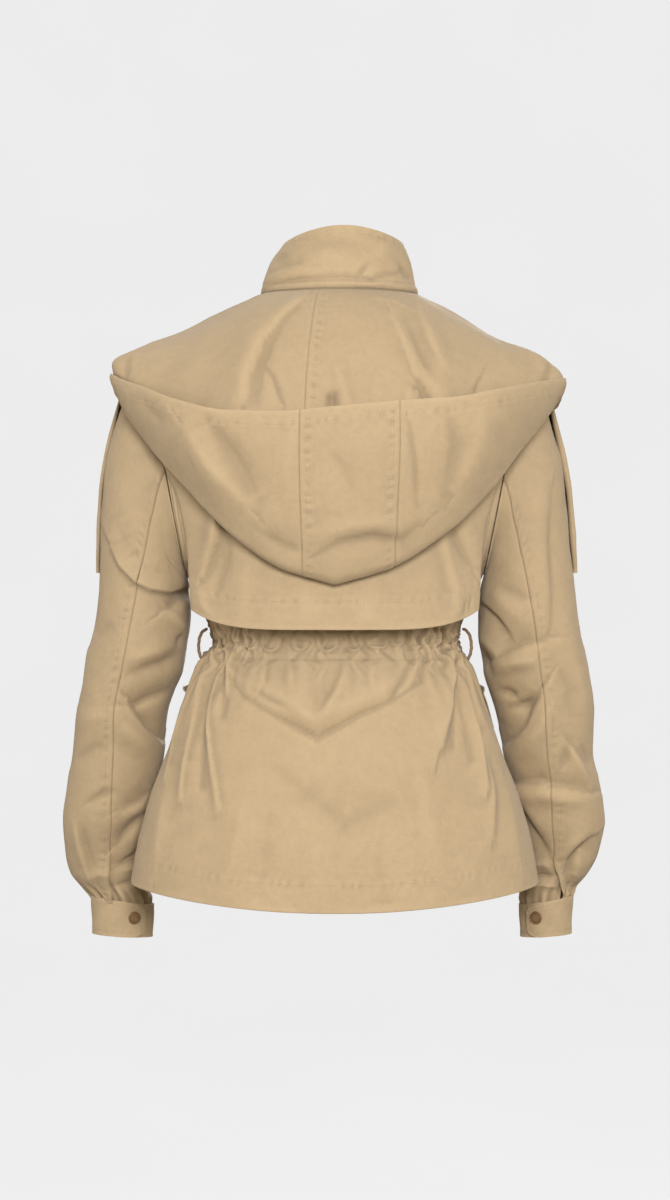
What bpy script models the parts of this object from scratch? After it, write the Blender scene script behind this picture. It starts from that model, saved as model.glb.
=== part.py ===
"""Hooded utility jacket in its worn form, with nobody in it: the construction solids.

Metres, +Z up. The front faces -Y and the wearer's left is +X. The origin is the centre of the neck opening,
at the height of the collar seam. Each cloth piece is an open surface, its outer face, with Solidify for its
wall.
"""
from collections import namedtuple

import bmesh
import bpy
import numpy as np
from mathutils import Matrix, Vector

# Driving dimensions, in metres.
WALL = 0.0013
SEAM = 0.0004
NECK_X = -0.004
NECK_Y = -0.006
NECK_HALF_WIDTH = 0.078
NECK_HALF_DEPTH = 0.076
NECK_BACK_Z = 0.002
NECK_DROP = 0.042
SHOULDER_TIP = (0.1877, 0.0, -0.062)
ARM_CENTRE = (0.168, -0.170)
ARM_TILT_X = 0.0197
ARM_HALF_HEIGHT = 0.108
ARM_HALF_DEPTH = 0.062
NECK_SHARE = 0.42
BACK_GATHERS = 24
FRONT_GATHERS = 9
GATHER_DEPTH = 0.0024
PLACKET_HALF_WIDTH = 0.024
CUFF_HEIGHT = 0.036
CUFF_OVERLAP = 0.022
CUFF_END_ANGLE = 136.0
CUFF_SNAP_TURN = 0.945
CUFF_SNAP_DOWN = 0.42
SNAP_RADIUS = 0.0065
SNAP_THICK = 0.0022
CORD_RADIUS = 0.0017

# The body, a ring of cloth for each height from the hem up to the underarm. z_* are heights at the centre
# back, side and centre front; x_side is the half width, y_side where the side seam lies, y_back and y_front
# the depths.
Ring = namedtuple("Ring", "z_back z_side z_front x_side y_side y_back y_front gather")
BODY = (
    Ring(-0.6030, -0.5830, -0.5920, 0.2025, 0.018, 0.156, -0.132, 0.0),
    Ring(-0.5600, -0.5450, -0.5520, 0.1960, 0.018, 0.153, -0.130, 0.0),
    Ring(-0.5090, -0.5000, -0.5040, 0.1835, 0.016, 0.148, -0.127, 0.0),
    Ring(-0.4590, -0.4550, -0.4570, 0.1665, 0.014, 0.140, -0.122, 0.0),
    Ring(-0.4160, -0.4150, -0.4160, 0.1525, 0.010, 0.128, -0.115, 0.0),
    Ring(-0.3850, -0.3850, -0.3850, 0.1405, 0.006, 0.117, -0.107, 0.0),
    Ring(-0.3640, -0.3630, -0.3630, 0.1295, 0.003, 0.107, -0.100, 0.0),
    Ring(-0.3550, -0.3545, -0.3545, 0.1245, 0.000, 0.101, -0.096, 0.7),
    Ring(-0.3460, -0.3455, -0.3455, 0.1205, 0.000, 0.097, -0.093, 1.0),
    Ring(-0.3370, -0.3365, -0.3365, 0.1225, 0.000, 0.099, -0.095, 0.6),
    Ring(-0.3240, -0.3230, -0.3230, 0.1275, 0.000, 0.104, -0.102, 0.0),
    Ring(-0.3000, -0.3000, -0.3000, 0.1345, 0.000, 0.109, -0.108, 0.0),
)
GATHERED_ROWS = (7, 8, 9)
YOKE_ROWS = (0.32, 0.62, 0.90, 1.0)

# Above the underarm the edges follow the armhole. arm is the angle round it, 180 at the underarm and 90 half
# way up.
Chest = namedtuple("Chest", "arm z_back z_front y_back y_front turn")
CHEST = (
    Chest(180, -0.270, -0.270, 0.112, -0.112, 1.0),
    Chest(150, -0.245, -0.245, 0.116, -0.117, 0.8),
    Chest(120, -0.205, -0.208, 0.119, -0.119, 0.55),
    Chest(90, -0.160, -0.165, 0.118, -0.116, 0.35),
)

# Capes: rows from the free lower edge to the base of the yoke. turn is 1 where the cloth rounds fully to the
# side.
Cape = namedtuple("Cape", "z_mid z_edge x_edge y_edge y_mid turn")
BACK_CAPE = (
    Cape(-0.3315, -0.3125, 0.1405, 0.084, 0.1420, 0.25),
    Cape(-0.3000, -0.2850, 0.1425, 0.081, 0.1385, 0.25),
    Cape(-0.2550, -0.2450, 0.1455, 0.078, 0.1345, 0.25),
    Cape(-0.2050, -0.2050, 0.1540, 0.076, 0.1300, 0.25),
    Cape(-0.1550, -0.1650, 0.1710, 0.072, 0.1240, 0.25),
)
FRONT_CAPE = (
    Cape(-0.2640, -0.2755, 0.2385, 0.002, -0.1300, 1.0),
    Cape(-0.2330, -0.2400, 0.2385, 0.002, -0.1295, 1.0),
    Cape(-0.1950, -0.2000, 0.2370, 0.001, -0.1275, 1.0),
    Cape(-0.1500, -0.1600, 0.2310, -0.001, -0.1230, 1.0),
)
FRONT_CAPE_INNER_X = 0.034
FRONT_CAPE_RIGHT_EXTRA = 0.0035

# Sleeves: the outermost and innermost point of each ring, armhole to cuff, its depth and where it lies in Y.
Sleeve = namedtuple("Sleeve", "x_out z_out x_in z_in y_mid y_half")
SLEEVE_LEFT = (
    Sleeve(0.1881, -0.0622, 0.1487, -0.2781, 0.000, 0.0620),
    Sleeve(0.1908, -0.0628, 0.1497, -0.2784, 0.000, 0.0620),
    Sleeve(0.2045, -0.0880, 0.1480, -0.2835, 0.000, 0.0610),
    Sleeve(0.2185, -0.1250, 0.1465, -0.2890, 0.000, 0.0600),
    Sleeve(0.2300, -0.1750, 0.1455, -0.2960, 0.001, 0.0595),
    Sleeve(0.2343, -0.2350, 0.1445, -0.3060, 0.002, 0.0580),
    Sleeve(0.2352, -0.2850, 0.1442, -0.3180, 0.002, 0.0565),
    Sleeve(0.2415, -0.3300, 0.1470, -0.3420, 0.001, 0.0550),
    Sleeve(0.2500, -0.3700, 0.1515, -0.3720, -0.003, 0.0535),
    Sleeve(0.2580, -0.4120, 0.1660, -0.4120, -0.012, 0.0525),
    Sleeve(0.2640, -0.4550, 0.1715, -0.4550, -0.022, 0.0510),
    Sleeve(0.2715, -0.5000, 0.1800, -0.5000, -0.032, 0.0490),
    Sleeve(0.2745, -0.5300, 0.1860, -0.5300, -0.040, 0.0470),
    Sleeve(0.2735, -0.5600, 0.1930, -0.5600, -0.052, 0.0440),
    Sleeve(0.2690, -0.5800, 0.1940, -0.5810, -0.058, 0.0405),
    Sleeve(0.2560, -0.5950, 0.1890, -0.5990, -0.060, 0.0350),
    Sleeve(0.2480, -0.6020, 0.1840, -0.6110, -0.060, 0.0310),
)
SLEEVE_RIGHT = (
    Sleeve(0.1881, -0.0622, 0.1487, -0.2781, 0.000, 0.0620),
    Sleeve(0.1908, -0.0628, 0.1497, -0.2784, 0.000, 0.0620),
    Sleeve(0.2040, -0.0900, 0.1480, -0.2835, 0.000, 0.0610),
    Sleeve(0.2160, -0.1290, 0.1465, -0.2890, 0.000, 0.0600),
    Sleeve(0.2285, -0.1780, 0.1455, -0.2960, 0.001, 0.0595),
    Sleeve(0.2345, -0.2400, 0.1440, -0.3060, 0.002, 0.0580),
    Sleeve(0.2395, -0.2900, 0.1425, -0.3180, 0.002, 0.0565),
    Sleeve(0.2455, -0.3350, 0.1440, -0.3420, 0.001, 0.0550),
    Sleeve(0.2535, -0.3720, 0.1480, -0.3720, -0.003, 0.0535),
    Sleeve(0.2590, -0.4120, 0.1600, -0.4120, -0.012, 0.0525),
    Sleeve(0.2600, -0.4550, 0.1690, -0.4550, -0.022, 0.0510),
    Sleeve(0.2690, -0.5000, 0.1790, -0.5000, -0.032, 0.0490),
    Sleeve(0.2725, -0.5300, 0.1860, -0.5300, -0.040, 0.0470),
    Sleeve(0.2670, -0.5600, 0.1930, -0.5600, -0.052, 0.0440),
    Sleeve(0.2560, -0.5820, 0.1930, -0.5810, -0.058, 0.0395),
    Sleeve(0.2450, -0.5950, 0.1880, -0.5990, -0.060, 0.0330),
    Sleeve(0.2420, -0.6020, 0.1870, -0.6110, -0.060, 0.0290),
)
SLEEVE_BACK_SEAM = 87
SLEEVE_BACK_SEAM_TURN = 16
SLEEVE_FRONT_SEAM = 262
SLEEVE_SEAM_GAP = 0.28

# Hood: stations round the neck seam from the centre back (0) to the front corner. fold_* is the lowest line
# of the pouch, edge_* the face opening. The inner layer leaves the neck seam and reaches the fold by a curve
# whose handles are shares of the way out and of the way down; belly is how far the outer layer stands out.
Hood = namedtuple("Hood", "neck fold_x fold_y fold_z edge_x edge_y edge_z out1 drop1 out2 drop2 round belly")
HOOD = (
    Hood(0, 0.000, 0.160, -0.2880, 0.000, 0.186, -0.1205, 0.60, 0.04, 1.35, 0.50, 0.0060, 0.0080),
    Hood(22, 0.050, 0.158, -0.2730, 0.055, 0.186, -0.1250, 0.58, 0.04, 1.30, 0.50, 0.0060, 0.0085),
    Hood(42, 0.100, 0.148, -0.2380, 0.105, 0.179, -0.1235, 0.52, 0.05, 1.22, 0.50, 0.0060, 0.0090),
    Hood(58, 0.143, 0.122, -0.1950, 0.148, 0.157, -0.1135, 0.46, 0.08, 1.14, 0.52, 0.0055, 0.0085),
    Hood(70, 0.178, 0.093, -0.1540, 0.185, 0.117, -0.0985, 0.38, 0.14, 1.12, 0.50, 0.0050, 0.0070),
    Hood(82, 0.205, 0.060, -0.1160, 0.212, 0.067, -0.0860, 0.28, 0.18, 1.15, 0.52, 0.0040, 0.0040),
    Hood(92, 0.218, 0.024, -0.0910, 0.2235, 0.026, -0.0740, 0.20, 0.09, 1.16, 0.59, 0.0028, 0.0015),
    Hood(106, 0.2185, -0.032, -0.0970, 0.2225, -0.034, -0.0870, 0.24, -0.06, 1.15, 0.63, 0.0025, 0.0008),
    Hood(122, 0.194, -0.092, -0.1110, 0.1970, -0.096, -0.1020, 0.34, -0.08, 1.12, 0.56, 0.0025, 0.0006),
    Hood(140, 0.142, -0.130, -0.1130, 0.1440, -0.135, -0.1050, 0.50, -0.06, 1.18, 0.48, 0.0025, 0.0006),
    Hood(156, 0.088, -0.136, -0.0980, 0.0890, -0.140, -0.0900, 0.55, 0.00, 1.22, 0.50, 0.0025, 0.0006),
    Hood(168, 0.042, -0.122, -0.0750, 0.0430, -0.125, -0.0680, 0.50, 0.08, 1.20, 0.50, 0.0025, 0.0005),
)
# The right half hangs lower at its tip and higher at its edge: what each station adds there.
HoodRight = namedtuple("HoodRight", "x fold_z edge_z")
HOOD_RIGHT = (
    HoodRight(0.0, 0.0, 0.0),
    HoodRight(0.0, -0.0005, 0.0095),
    HoodRight(0.0, -0.0046, 0.0115),
    HoodRight(0.0, -0.0089, 0.0095),
    HoodRight(0.0, -0.0050, 0.0035),
    HoodRight(0.0020, -0.0060, -0.0020),
    HoodRight(0.0050, -0.0090, -0.0090),
    HoodRight(0.0050, -0.0100, -0.0100),
    HoodRight(0.0040, -0.0080, -0.0080),
    HoodRight(0.0020, -0.0040, -0.0040),
    HoodRight(0.0, 0.0, 0.0),
    HoodRight(0.0, 0.0, 0.0),
)
HOOD_NECK_OUT = 0.0016
HOOD_FRONT_LIFT = 0.0022
HOOD_SEAM_LEFT = 0.60
HOOD_SEAM_RIGHT = -1.12

# Collar: neck seam, middle and top edge, round from the centre back.
Collar = namedtuple("Collar", "x_mid half_width y_mid half_depth z_back z_side z_front")
COLLAR = (
    Collar(-0.0040, 0.0780, -0.006, 0.0760, -0.0044, -0.0044, -0.0464),
    Collar(-0.0045, 0.0755, -0.007, 0.0735, 0.0150, 0.0140, -0.0280),
    Collar(-0.0055, 0.0700, -0.010, 0.0660, 0.0400, 0.0350, -0.0080),
    Collar(-0.0085, 0.0605, -0.012, 0.0600, 0.0660, 0.0520, 0.0080),
)
COLLAR_END = 176
COLLAR_COLUMN = 7.5
COLLAR_SPREAD = 14

# Creases seen from behind: a path of (x, z) points, its half width, and its height (+) or depth (-).
Crease = namedtuple("Crease", "path width height")
BODY_CREASES = (
    Crease(((0.112, -0.350), (0.088, -0.376), (0.060, -0.400), (0.018, -0.424)), 0.016, 0.0050),
    Crease(((0.018, -0.424), (-0.044, -0.398), (-0.080, -0.372)), 0.016, 0.0045),
    Crease(((0.116, -0.366), (0.090, -0.396), (0.056, -0.420), (0.018, -0.446)), 0.013, -0.0035),
    Crease(((0.018, -0.446), (-0.044, -0.420), (-0.078, -0.392)), 0.013, -0.0030),
    Crease(((0.131, -0.368), (0.147, -0.425), (0.150, -0.500)), 0.010, 0.0060),
    Crease(((0.122, -0.368), (0.129, -0.410), (0.122, -0.470), (0.118, -0.520)), 0.010, -0.0050),
    Crease(((0.112, -0.380), (0.112, -0.440), (0.102, -0.520)), 0.014, 0.0040),
    Crease(((-0.119, -0.375), (-0.113, -0.428), (-0.106, -0.462)), 0.010, -0.0055),
    Crease(((-0.130, -0.372), (-0.134, -0.430), (-0.136, -0.500)), 0.011, 0.0055),
    Crease(((-0.136, -0.385), (-0.147, -0.457), (-0.158, -0.523)), 0.010, -0.0050),
    Crease(((0.060, -0.450), (-0.008, -0.512), (-0.064, -0.492)), 0.026, -0.0040),
)
SLEEVE_CREASES = (
    Crease(((0.228, -0.200), (0.217, -0.246), (0.190, -0.282), (0.150, -0.286)), 0.013, -0.0045),
    Crease(((0.222, -0.170), (0.205, -0.232), (0.180, -0.262), (0.150, -0.262)), 0.014, 0.0035),
    Crease(((0.222, -0.392), (0.195, -0.392), (0.165, -0.384)), 0.013, -0.0050),
    Crease(((0.215, -0.415), (0.190, -0.428), (0.172, -0.446)), 0.014, 0.0045),
    Crease(((0.262, -0.520), (0.235, -0.548), (0.205, -0.560)), 0.013, -0.0040),
    Crease(((0.258, -0.565), (0.235, -0.580), (0.205, -0.585)), 0.011, 0.0035),
)
HOOD_CREASES = (
    Crease(((0.118, -0.128), (0.098, -0.165), (0.074, -0.205)), 0.016, -0.0050),
    Crease(((0.150, -0.125), (0.130, -0.165), (0.105, -0.205)), 0.016, 0.0035),
    Crease(((-0.060, -0.262), (-0.015, -0.258), (0.015, -0.266)), 0.014, -0.0045),
    Crease(((-0.150, -0.130), (-0.128, -0.175), (-0.100, -0.215)), 0.018, -0.0040),
)
HOOD_TOP_CREASES = (
    Crease(((0.034, -0.012), (0.077, -0.050), (0.091, -0.107)), 0.013, 0.0050),
    Crease(((-0.058, -0.035), (-0.078, -0.070), (-0.091, -0.110)), 0.013, 0.0045),
    Crease(((-0.136, -0.018), (-0.165, -0.030), (-0.192, -0.042)), 0.016, -0.0046),
    Crease(((0.125, -0.018), (0.155, -0.030), (0.185, -0.044)), 0.016, -0.0032),
)

# Pockets on the fronts, in the body's own q (0 centre front, 1 side seam) and rows.
POCKET_ROWS = (1.55, 4.35)
FLAP_ROWS = (3.55, 5.0)
POCKET_FRONT_TOP_Q = 0.36
POCKET_FRONT_LOW_Q = 0.44
POCKET_REAR_TOP_Q = 0.93
POCKET_REAR_LOW_Q = 0.72
POCKET_BULGE = 0.0050
FLAP_CURL_LEFT = 0.0060
FLAP_CURL_RIGHT = 0.0030

# Drawcord: the loop that stands out of the waist tunnel at each side, for the left.
CORD_ROUTE = (
    (0.1268, 0.0080, -0.3318),
    (0.1315, 0.0076, -0.3345),
    (0.1345, 0.0064, -0.3392),
    (0.1359, 0.0044, -0.3450),
    (0.1363, 0.0018, -0.3508),
    (0.1357, -0.0012, -0.3562),
    (0.1342, -0.0044, -0.3608),
    (0.1318, -0.0076, -0.3644),
)
PLACKET_SNAP_ROWS = (1.2, 3.7, 11.0, 13.6, 15.45)
PLACKET_TOP_ROW = 15.86

CLOTH_RGB = (0.565, 0.408, 0.246)
CORD_RGB = (0.40, 0.28, 0.17)
SNAP_RGB = (0.17, 0.11, 0.058)


# ---------------------------------------------------------------- numbers and curves
def ease(t):
    """0 to 1 with level ends."""
    t = np.clip(t, 0.0, 1.0)
    return t * t * (3.0 - 2.0 * t)


def through(values, v):
    """A smooth curve through values at 0, 1, 2..., with no overshoot between them."""
    y = np.asarray(values, float)
    step = np.diff(y)
    slope = np.zeros(len(y))
    slope[0], slope[-1] = step[0], step[-1]
    same = step[:-1] * step[1:] > 0
    both = np.where(same, step[:-1] + step[1:], 1.0)
    slope[1:-1] = np.where(same, 2.0 * step[:-1] * step[1:] / both, 0.0)
    v = np.asarray(v, float)
    i = np.clip(np.floor(v).astype(int), 0, len(y) - 2)
    f = v - i
    a, b, c = y[i], y[i + 1], f * f * (3.0 - 2.0 * f)
    return a + (b - a) * c + slope[i] * f * (1 - f) ** 2 - slope[i + 1] * f * f * (1 - f)


def column(table, name, v):
    return through([getattr(row, name) for row in table], v)


def stack(x, y, z):
    return np.stack(np.broadcast_arrays(x, y, z), axis=-1)


def bezier(a, b, c, d, t):
    t = np.asarray(t)[..., None]
    return a * (1 - t) ** 3 + 3 * b * t * (1 - t) ** 2 + 3 * c * t * t * (1 - t) + d * t ** 3


def crease_height(x, z, creases):
    """Sum of soft ridges and troughs: each is a bell curve across its path and fades at its ends."""
    total = np.zeros(np.shape(x))
    for crease in creases:
        path = np.array(crease.path)
        steps = np.linalg.norm(np.diff(path, axis=0), axis=1)
        run = np.concatenate([[0.0], np.cumsum(steps)])
        near = np.full(np.shape(x), 1e9)
        where = np.zeros(np.shape(x))
        for a, b, start, length in zip(path[:-1], path[1:], run, steps):
            t = ((x - a[0]) * (b[0] - a[0]) + (z - a[1]) * (b[1] - a[1])) / length ** 2
            t = np.clip(t, 0.0, 1.0)
            far = np.hypot(x - a[0] - t * (b[0] - a[0]), z - a[1] - t * (b[1] - a[1]))
            closer = far < near
            near = np.where(closer, far, near)
            where = np.where(closer, (start + t * length) / run[-1], where)
        fade = 0.35 + 0.65 * np.sin(np.pi * where)
        total = total + crease.height * fade * np.exp(-(near / crease.width) ** 2)
    return total


# ---------------------------------------------------------------- the body and the capes
def neck_ring(angle, out=0.0, lift=0.0):
    """The collar seam. angle is 0 at the centre back, 90 on the left and 180 at the centre front."""
    a = np.radians(angle)
    x = NECK_X * (1.0 - ease((np.abs(angle) - 90.0) / 90.0)) + (NECK_HALF_WIDTH + out) * np.sin(a)
    y = NECK_Y + (NECK_HALF_DEPTH + out) * np.cos(a)
    z = NECK_BACK_Z + lift - NECK_DROP * ease((np.abs(angle) - 75.0) / 105.0)
    return stack(x, y, z)


def shoulder_line(q, side, facing, out, neck_lift, tip_lift, seam):
    """The top edge of a body layer: round the neck, then straight along the shoulder to its tip."""
    turn = 90.0 * np.clip(q / NECK_SHARE, 0.0, 1.0)
    angle = np.where(facing > 0, turn, 180.0 - turn)
    ring = neck_ring(side * angle, out, neck_lift)
    tip = stack(side * (SHOULDER_TIP[0] - SEAM + out), SHOULDER_TIP[1] + 0.0 * q, SHOULDER_TIP[2] + tip_lift)
    f = np.clip((q - NECK_SHARE) / (1.0 - NECK_SHARE), 0.0, 1.0)[..., None]
    line = ring * (1 - f) + tip * f
    line[..., 1] += facing * seam
    return line


def section(q, side, x_edge, y_edge, y_mid, z_edge, z_mid, turn, power, z_power=2.0):
    """One row of a layer: q is 0 on the centre line and 1 at the edge."""
    across = np.sin(q * np.pi / 2)
    rounded = np.maximum(1 - across ** power, 0.0) ** (1 / power)
    depth = turn * rounded + (1 - turn) * (1 - across ** power)
    z = z_edge + (z_mid - z_edge) * (1 - across ** z_power)
    return stack(side * x_edge * across, y_edge + (y_mid - y_edge) * depth, z)


def yoke(base, top, t, swing=0.0):
    """A quarter ellipse from a section, where it stands upright, to the shoulder line, where it is level."""
    rise = np.sin(t * np.pi / 2)[..., None]
    fall = np.cos(t * np.pi / 2)[..., None]
    point = base + (top - base) * rise
    point[..., 1] = (top + (base - top) * fall)[..., 1]
    mix = rise * (1 - swing) + (1 - fall) * swing
    point[..., 0] = (base + (top - base) * mix)[..., 0]
    return point


BODY_ROWS = len(BODY) + len(CHEST) - 1


def armhole(angle):
    a = np.radians(angle)
    return (ARM_CENTRE[0] + ARM_TILT_X * np.cos(a) - SEAM, ARM_HALF_DEPTH * np.sin(a),
            ARM_CENTRE[1] + ARM_HALF_HEIGHT * np.cos(a))


def body_columns(facing):
    """The columns of the body's sections, hem to yoke, with the armhole's edge worked out."""
    back = facing > 0
    rows = []
    for r in BODY:
        rows.append((r.x_side, r.y_side, r.y_back if back else r.y_front, r.z_side,
                     r.z_back if back else r.z_front, 1.0, r.gather))
    for r in CHEST:
        x, open_y, z = armhole(r.arm)
        rows.append((x, facing * open_y, r.y_back if back else r.y_front, z,
                     r.z_back if back else r.z_front, r.turn, 0.0))
    return np.array(rows).T


def gather_phase(q, count):
    """Which gather a point lies in: unevenly spaced, tighter towards the side."""
    warp = 0.35 * np.sin(5.0 * q + 0.6) + 0.22 * np.sin(13.0 * q)
    return count * (0.82 * q + 0.18 * q ** 3) + warp - 0.35 * np.sin(0.6)


def gather_wave(q, count, flat):
    """The gathers' height, -1 to 1. flat is the share of the panel at the centre line that has none."""
    phase = gather_phase(q, count)
    size = 0.85 + 0.3 * np.sin(1.7 * phase + 2.0) * np.sin(0.6 * phase)
    return size * np.sin(2 * np.pi * phase) * ease((q - flat) / 0.05)


def body(s, v, out=0.0):
    """Outer face of the body. s is 0 at the centre back, +-1 at the sides and +-2 at the centre front; v
    counts the rows up from the hem, with the yoke as the last one. out moves it away from the wearer."""
    s, v = np.broadcast_arrays(np.asarray(s, float), np.asarray(v, float))
    side = np.where(s < 0, -1.0, 1.0)
    result = np.zeros(s.shape + (3,))
    for facing in (1.0, -1.0):
        here = (np.abs(s) <= 1.0) if facing > 0 else (np.abs(s) > 1.0)
        if not here.any():
            continue
        q = np.abs(s[here]) if facing > 0 else np.clip(2.0 - np.abs(s[here]), 0.0, 1.0)
        row = np.minimum(v[here], BODY_ROWS)
        x, y_edge, y_mid, z_edge, z_mid, turn, gather = [through(c, row) for c in body_columns(facing)]
        count, flat = (BACK_GATHERS / 2, 0.02) if facing > 0 else (FRONT_GATHERS, 0.15)
        swell = out + GATHER_DEPTH * gather * gather_wave(q, count, flat)
        base = section(q, side[here], x + swell, y_edge + facing * 0.5 * SEAM, y_mid + facing * swell,
                       z_edge, z_mid, turn, 2.3)
        top = shoulder_line(q, side[here], facing, out, out - 0.0080, out, 0.5 * SEAM)
        t = np.clip(v[here] - BODY_ROWS, 0.0, 1.0)
        base = yoke(base, top, t)
        if facing > 0:
            outward = stack(0.6 * base[..., 0], np.maximum(base[..., 1], 0.0), 0.0)
            base = base + outward / np.linalg.norm(outward, axis=-1, keepdims=True) \
                * crease_height(base[..., 0], base[..., 2], BODY_CREASES)[..., None]
        result[here] = base
    return result


def back_cape(s, v):
    """Back cape, s -1 to 1 across, v from the free edge (0) up, with the yoke as the last row."""
    last = len(BACK_CAPE) - 1
    row = np.minimum(v, last)
    c = {name: column(BACK_CAPE, name, row) for name in Cape._fields}
    q, side = np.abs(s), np.where(s < 0, -1.0, 1.0)
    base = section(q, side, c["x_edge"], c["y_edge"], c["y_mid"], c["z_edge"], c["z_mid"], c["turn"],
                   2.6, 5.0)
    top = shoulder_line(q, side, 1.0, 0.0035, -0.0045, 0.0045, 0.5 * SEAM)
    return yoke(base, top, np.clip(v - last, 0.0, 1.0))


def front_cape(s, v, side):
    """Front shoulder flap, s from its front edge (0) to its free rear edge (1), v as on the back cape."""
    last = len(FRONT_CAPE) - 1
    row = np.minimum(v, last)
    c = {name: column(FRONT_CAPE, name, row) for name in Cape._fields}
    if side < 0:
        c["x_edge"] = c["x_edge"] + FRONT_CAPE_RIGHT_EXTRA * (1.0 - row / last)
    start = 2 / np.pi * np.arcsin(FRONT_CAPE_INNER_X / c["x_edge"])
    q = start + (1 - start) * s
    side = side + 0.0 * q
    base = section(q, side, c["x_edge"], c["y_edge"], c["y_mid"], c["z_edge"], c["z_mid"], c["turn"], 2.6)
    top = shoulder_line(q, side, -1.0, 0.0035, -0.0038, 0.0045, 0.5 * SEAM)
    return yoke(base, top, np.clip(v - last, 0.0, 1.0), swing=0.5)


# ---------------------------------------------------------------- sleeves, cuffs, collar and hood
def sleeve(angle, v, table, side):
    """angle goes round each ring: 0 outermost, 90 at the back, 180 innermost, 270 at the front."""
    c = {name: column(table, name, v) for name in Sleeve._fields}
    a = np.radians(angle)
    share = 0.5 - 0.5 * np.cos(a)
    x = c["x_out"] + (c["x_in"] - c["x_out"]) * share
    z = c["z_out"] + (c["z_in"] - c["z_out"]) * share
    behind = ease(np.sin(a) * 1.5)
    swell = behind * crease_height(x, z, SLEEVE_CREASES)
    y = c["y_mid"] + c["y_half"] * np.sin(a) + swell
    return stack(side * x, y, z)


def panel_angle(piece, u, v):
    """The angle of a sleeve panel's column: u is 0 at its first seam and 1 at its second."""
    back = SLEEVE_BACK_SEAM + SLEEVE_BACK_SEAM_TURN * ease((v - 7.0) / 8.0)
    front = SLEEVE_FRONT_SEAM + 0.0 * v
    low, high = (front - 360.0, back) if piece == "top" else (back, front)
    return low + SLEEVE_SEAM_GAP + (high - low - 2 * SLEEVE_SEAM_GAP) * u


def cuff(turn, v, table, side):
    """A band that winds once round the wrist and overlaps itself: turn runs along it and v down it."""
    end = table[-1]
    half = 0.5 * (end.x_out - end.x_in)
    x_mid = 0.5 * (end.x_out + end.x_in)
    girth = 2 * np.pi * np.sqrt(0.5 * (half ** 2 + end.y_half ** 2))
    lap = CUFF_OVERLAP / girth
    a = np.radians(CUFF_END_ANGLE) + (turn - 1) * 2 * np.pi * (1 + lap)
    grow = 0.0004 + 0.0026 * ease((turn - 1 + 2 * lap) / (2 * lap)) - 0.0006 * (1 - ease(turn / lap))
    flare = -0.0015 * v
    x = x_mid + (half + grow + flare) * np.cos(a)
    y = end.y_mid + (end.y_half + grow + flare) * np.sin(a)
    tilt = (end.z_out - end.z_in) / (end.x_out - end.x_in)
    z = 0.5 * (end.z_out + end.z_in) + tilt * (x - x_mid) * (1 - 0.6 * v) - 2.5 * SEAM - CUFF_HEIGHT * v
    return stack(side * x, y, z)


def collar(u, v):
    """u runs from -1, the right front end, through 0 at the centre back, to 1; v from the neck seam up."""
    c = {name: column(COLLAR, name, v) for name in Collar._fields}
    angle = u * (COLLAR_END - COLLAR_SPREAD * ease(v / (len(COLLAR) - 1)) ** 2)
    a = np.radians(angle)
    x = c["x_mid"] * (1.0 - ease((np.abs(angle) - 90.0) / 90.0)) + c["half_width"] * np.sin(a)
    y = c["y_mid"] + c["half_depth"] * np.cos(a)
    to_side = ease(np.abs(angle) / 90.0)
    to_front = ease((np.abs(angle) - 75.0) / 105.0)
    z = c["z_back"] + (c["z_side"] - c["z_back"]) * to_side + (c["z_front"] - c["z_side"]) * to_front
    return stack(x, y, z)


def hood(u, w):
    """u counts the stations from the centre back, positive on the left. w is 0 at the neck seam, 1 at the
    fold's inner side, 2 at its outer side and 3 at the face opening."""
    u, w = np.broadcast_arrays(np.asarray(u, float), np.asarray(w, float))
    side = np.where(u < 0, -1.0, 1.0)
    k = {name: column(HOOD, name, np.abs(u)) for name in Hood._fields}
    neck = neck_ring(side * k["neck"], HOOD_NECK_OUT, HOOD_FRONT_LIFT * ease((k["neck"] - 70.0) / 40.0))
    more = {name: (u < 0) * column(HOOD_RIGHT, name, np.abs(u)) for name in HoodRight._fields}
    fold = stack(side * (k["fold_x"] + more["x"]), k["fold_y"], k["fold_z"] + more["fold_z"])
    edge = stack(side * (k["edge_x"] + more["x"]), k["edge_y"], k["edge_z"] + more["edge_z"])
    away = fold - neck
    away[..., 2] = 0.0
    reach = np.linalg.norm(away, axis=-1, keepdims=True)
    away = away / reach
    down = stack(0.0 * u, 0.0 * u, fold[..., 2] - neck[..., 2])
    r = k["round"][..., None]
    up = np.array([0.0, 0.0, 1.0])
    inner_end = fold + r * (up - away)
    outer_start = fold + r * (up + away)
    first = neck + away * reach * k["out1"][..., None] + down * k["drop1"][..., None]
    second = neck + away * reach * k["out2"][..., None] + down * k["drop2"][..., None]
    inner = bezier(neck, first, second, inner_end, np.clip(w, 0.0, 1.0))
    bend = np.clip(w - 1.0, 0.0, 1.0) * np.pi
    turn = fold + up * r - away * r * np.cos(bend)[..., None] - up * r * np.sin(bend)[..., None]
    height = edge[..., 2:] - outer_start[..., 2:]
    belly = away * k["belly"][..., None]
    low_handle = outer_start + up * height * 0.35 + belly
    high_handle = edge - up * height * 0.3 + belly
    outer = bezier(outer_start, low_handle, high_handle, edge, np.clip(w - 2.0, 0.0, 1.0))
    outer = outer + away * crease_height(outer[..., 0], outer[..., 2], HOOD_CREASES)[..., None]
    lying = ease((0.75 - w) / 0.2) * ease(w / 0.15)
    rise = lying * crease_height(inner[..., 0], inner[..., 2], HOOD_TOP_CREASES)
    inner = inner + (away + up) * rise[..., None]
    w = w[..., None]
    return np.where(w <= 1.0, inner, np.where(w < 2.0, turn, outer))


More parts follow.
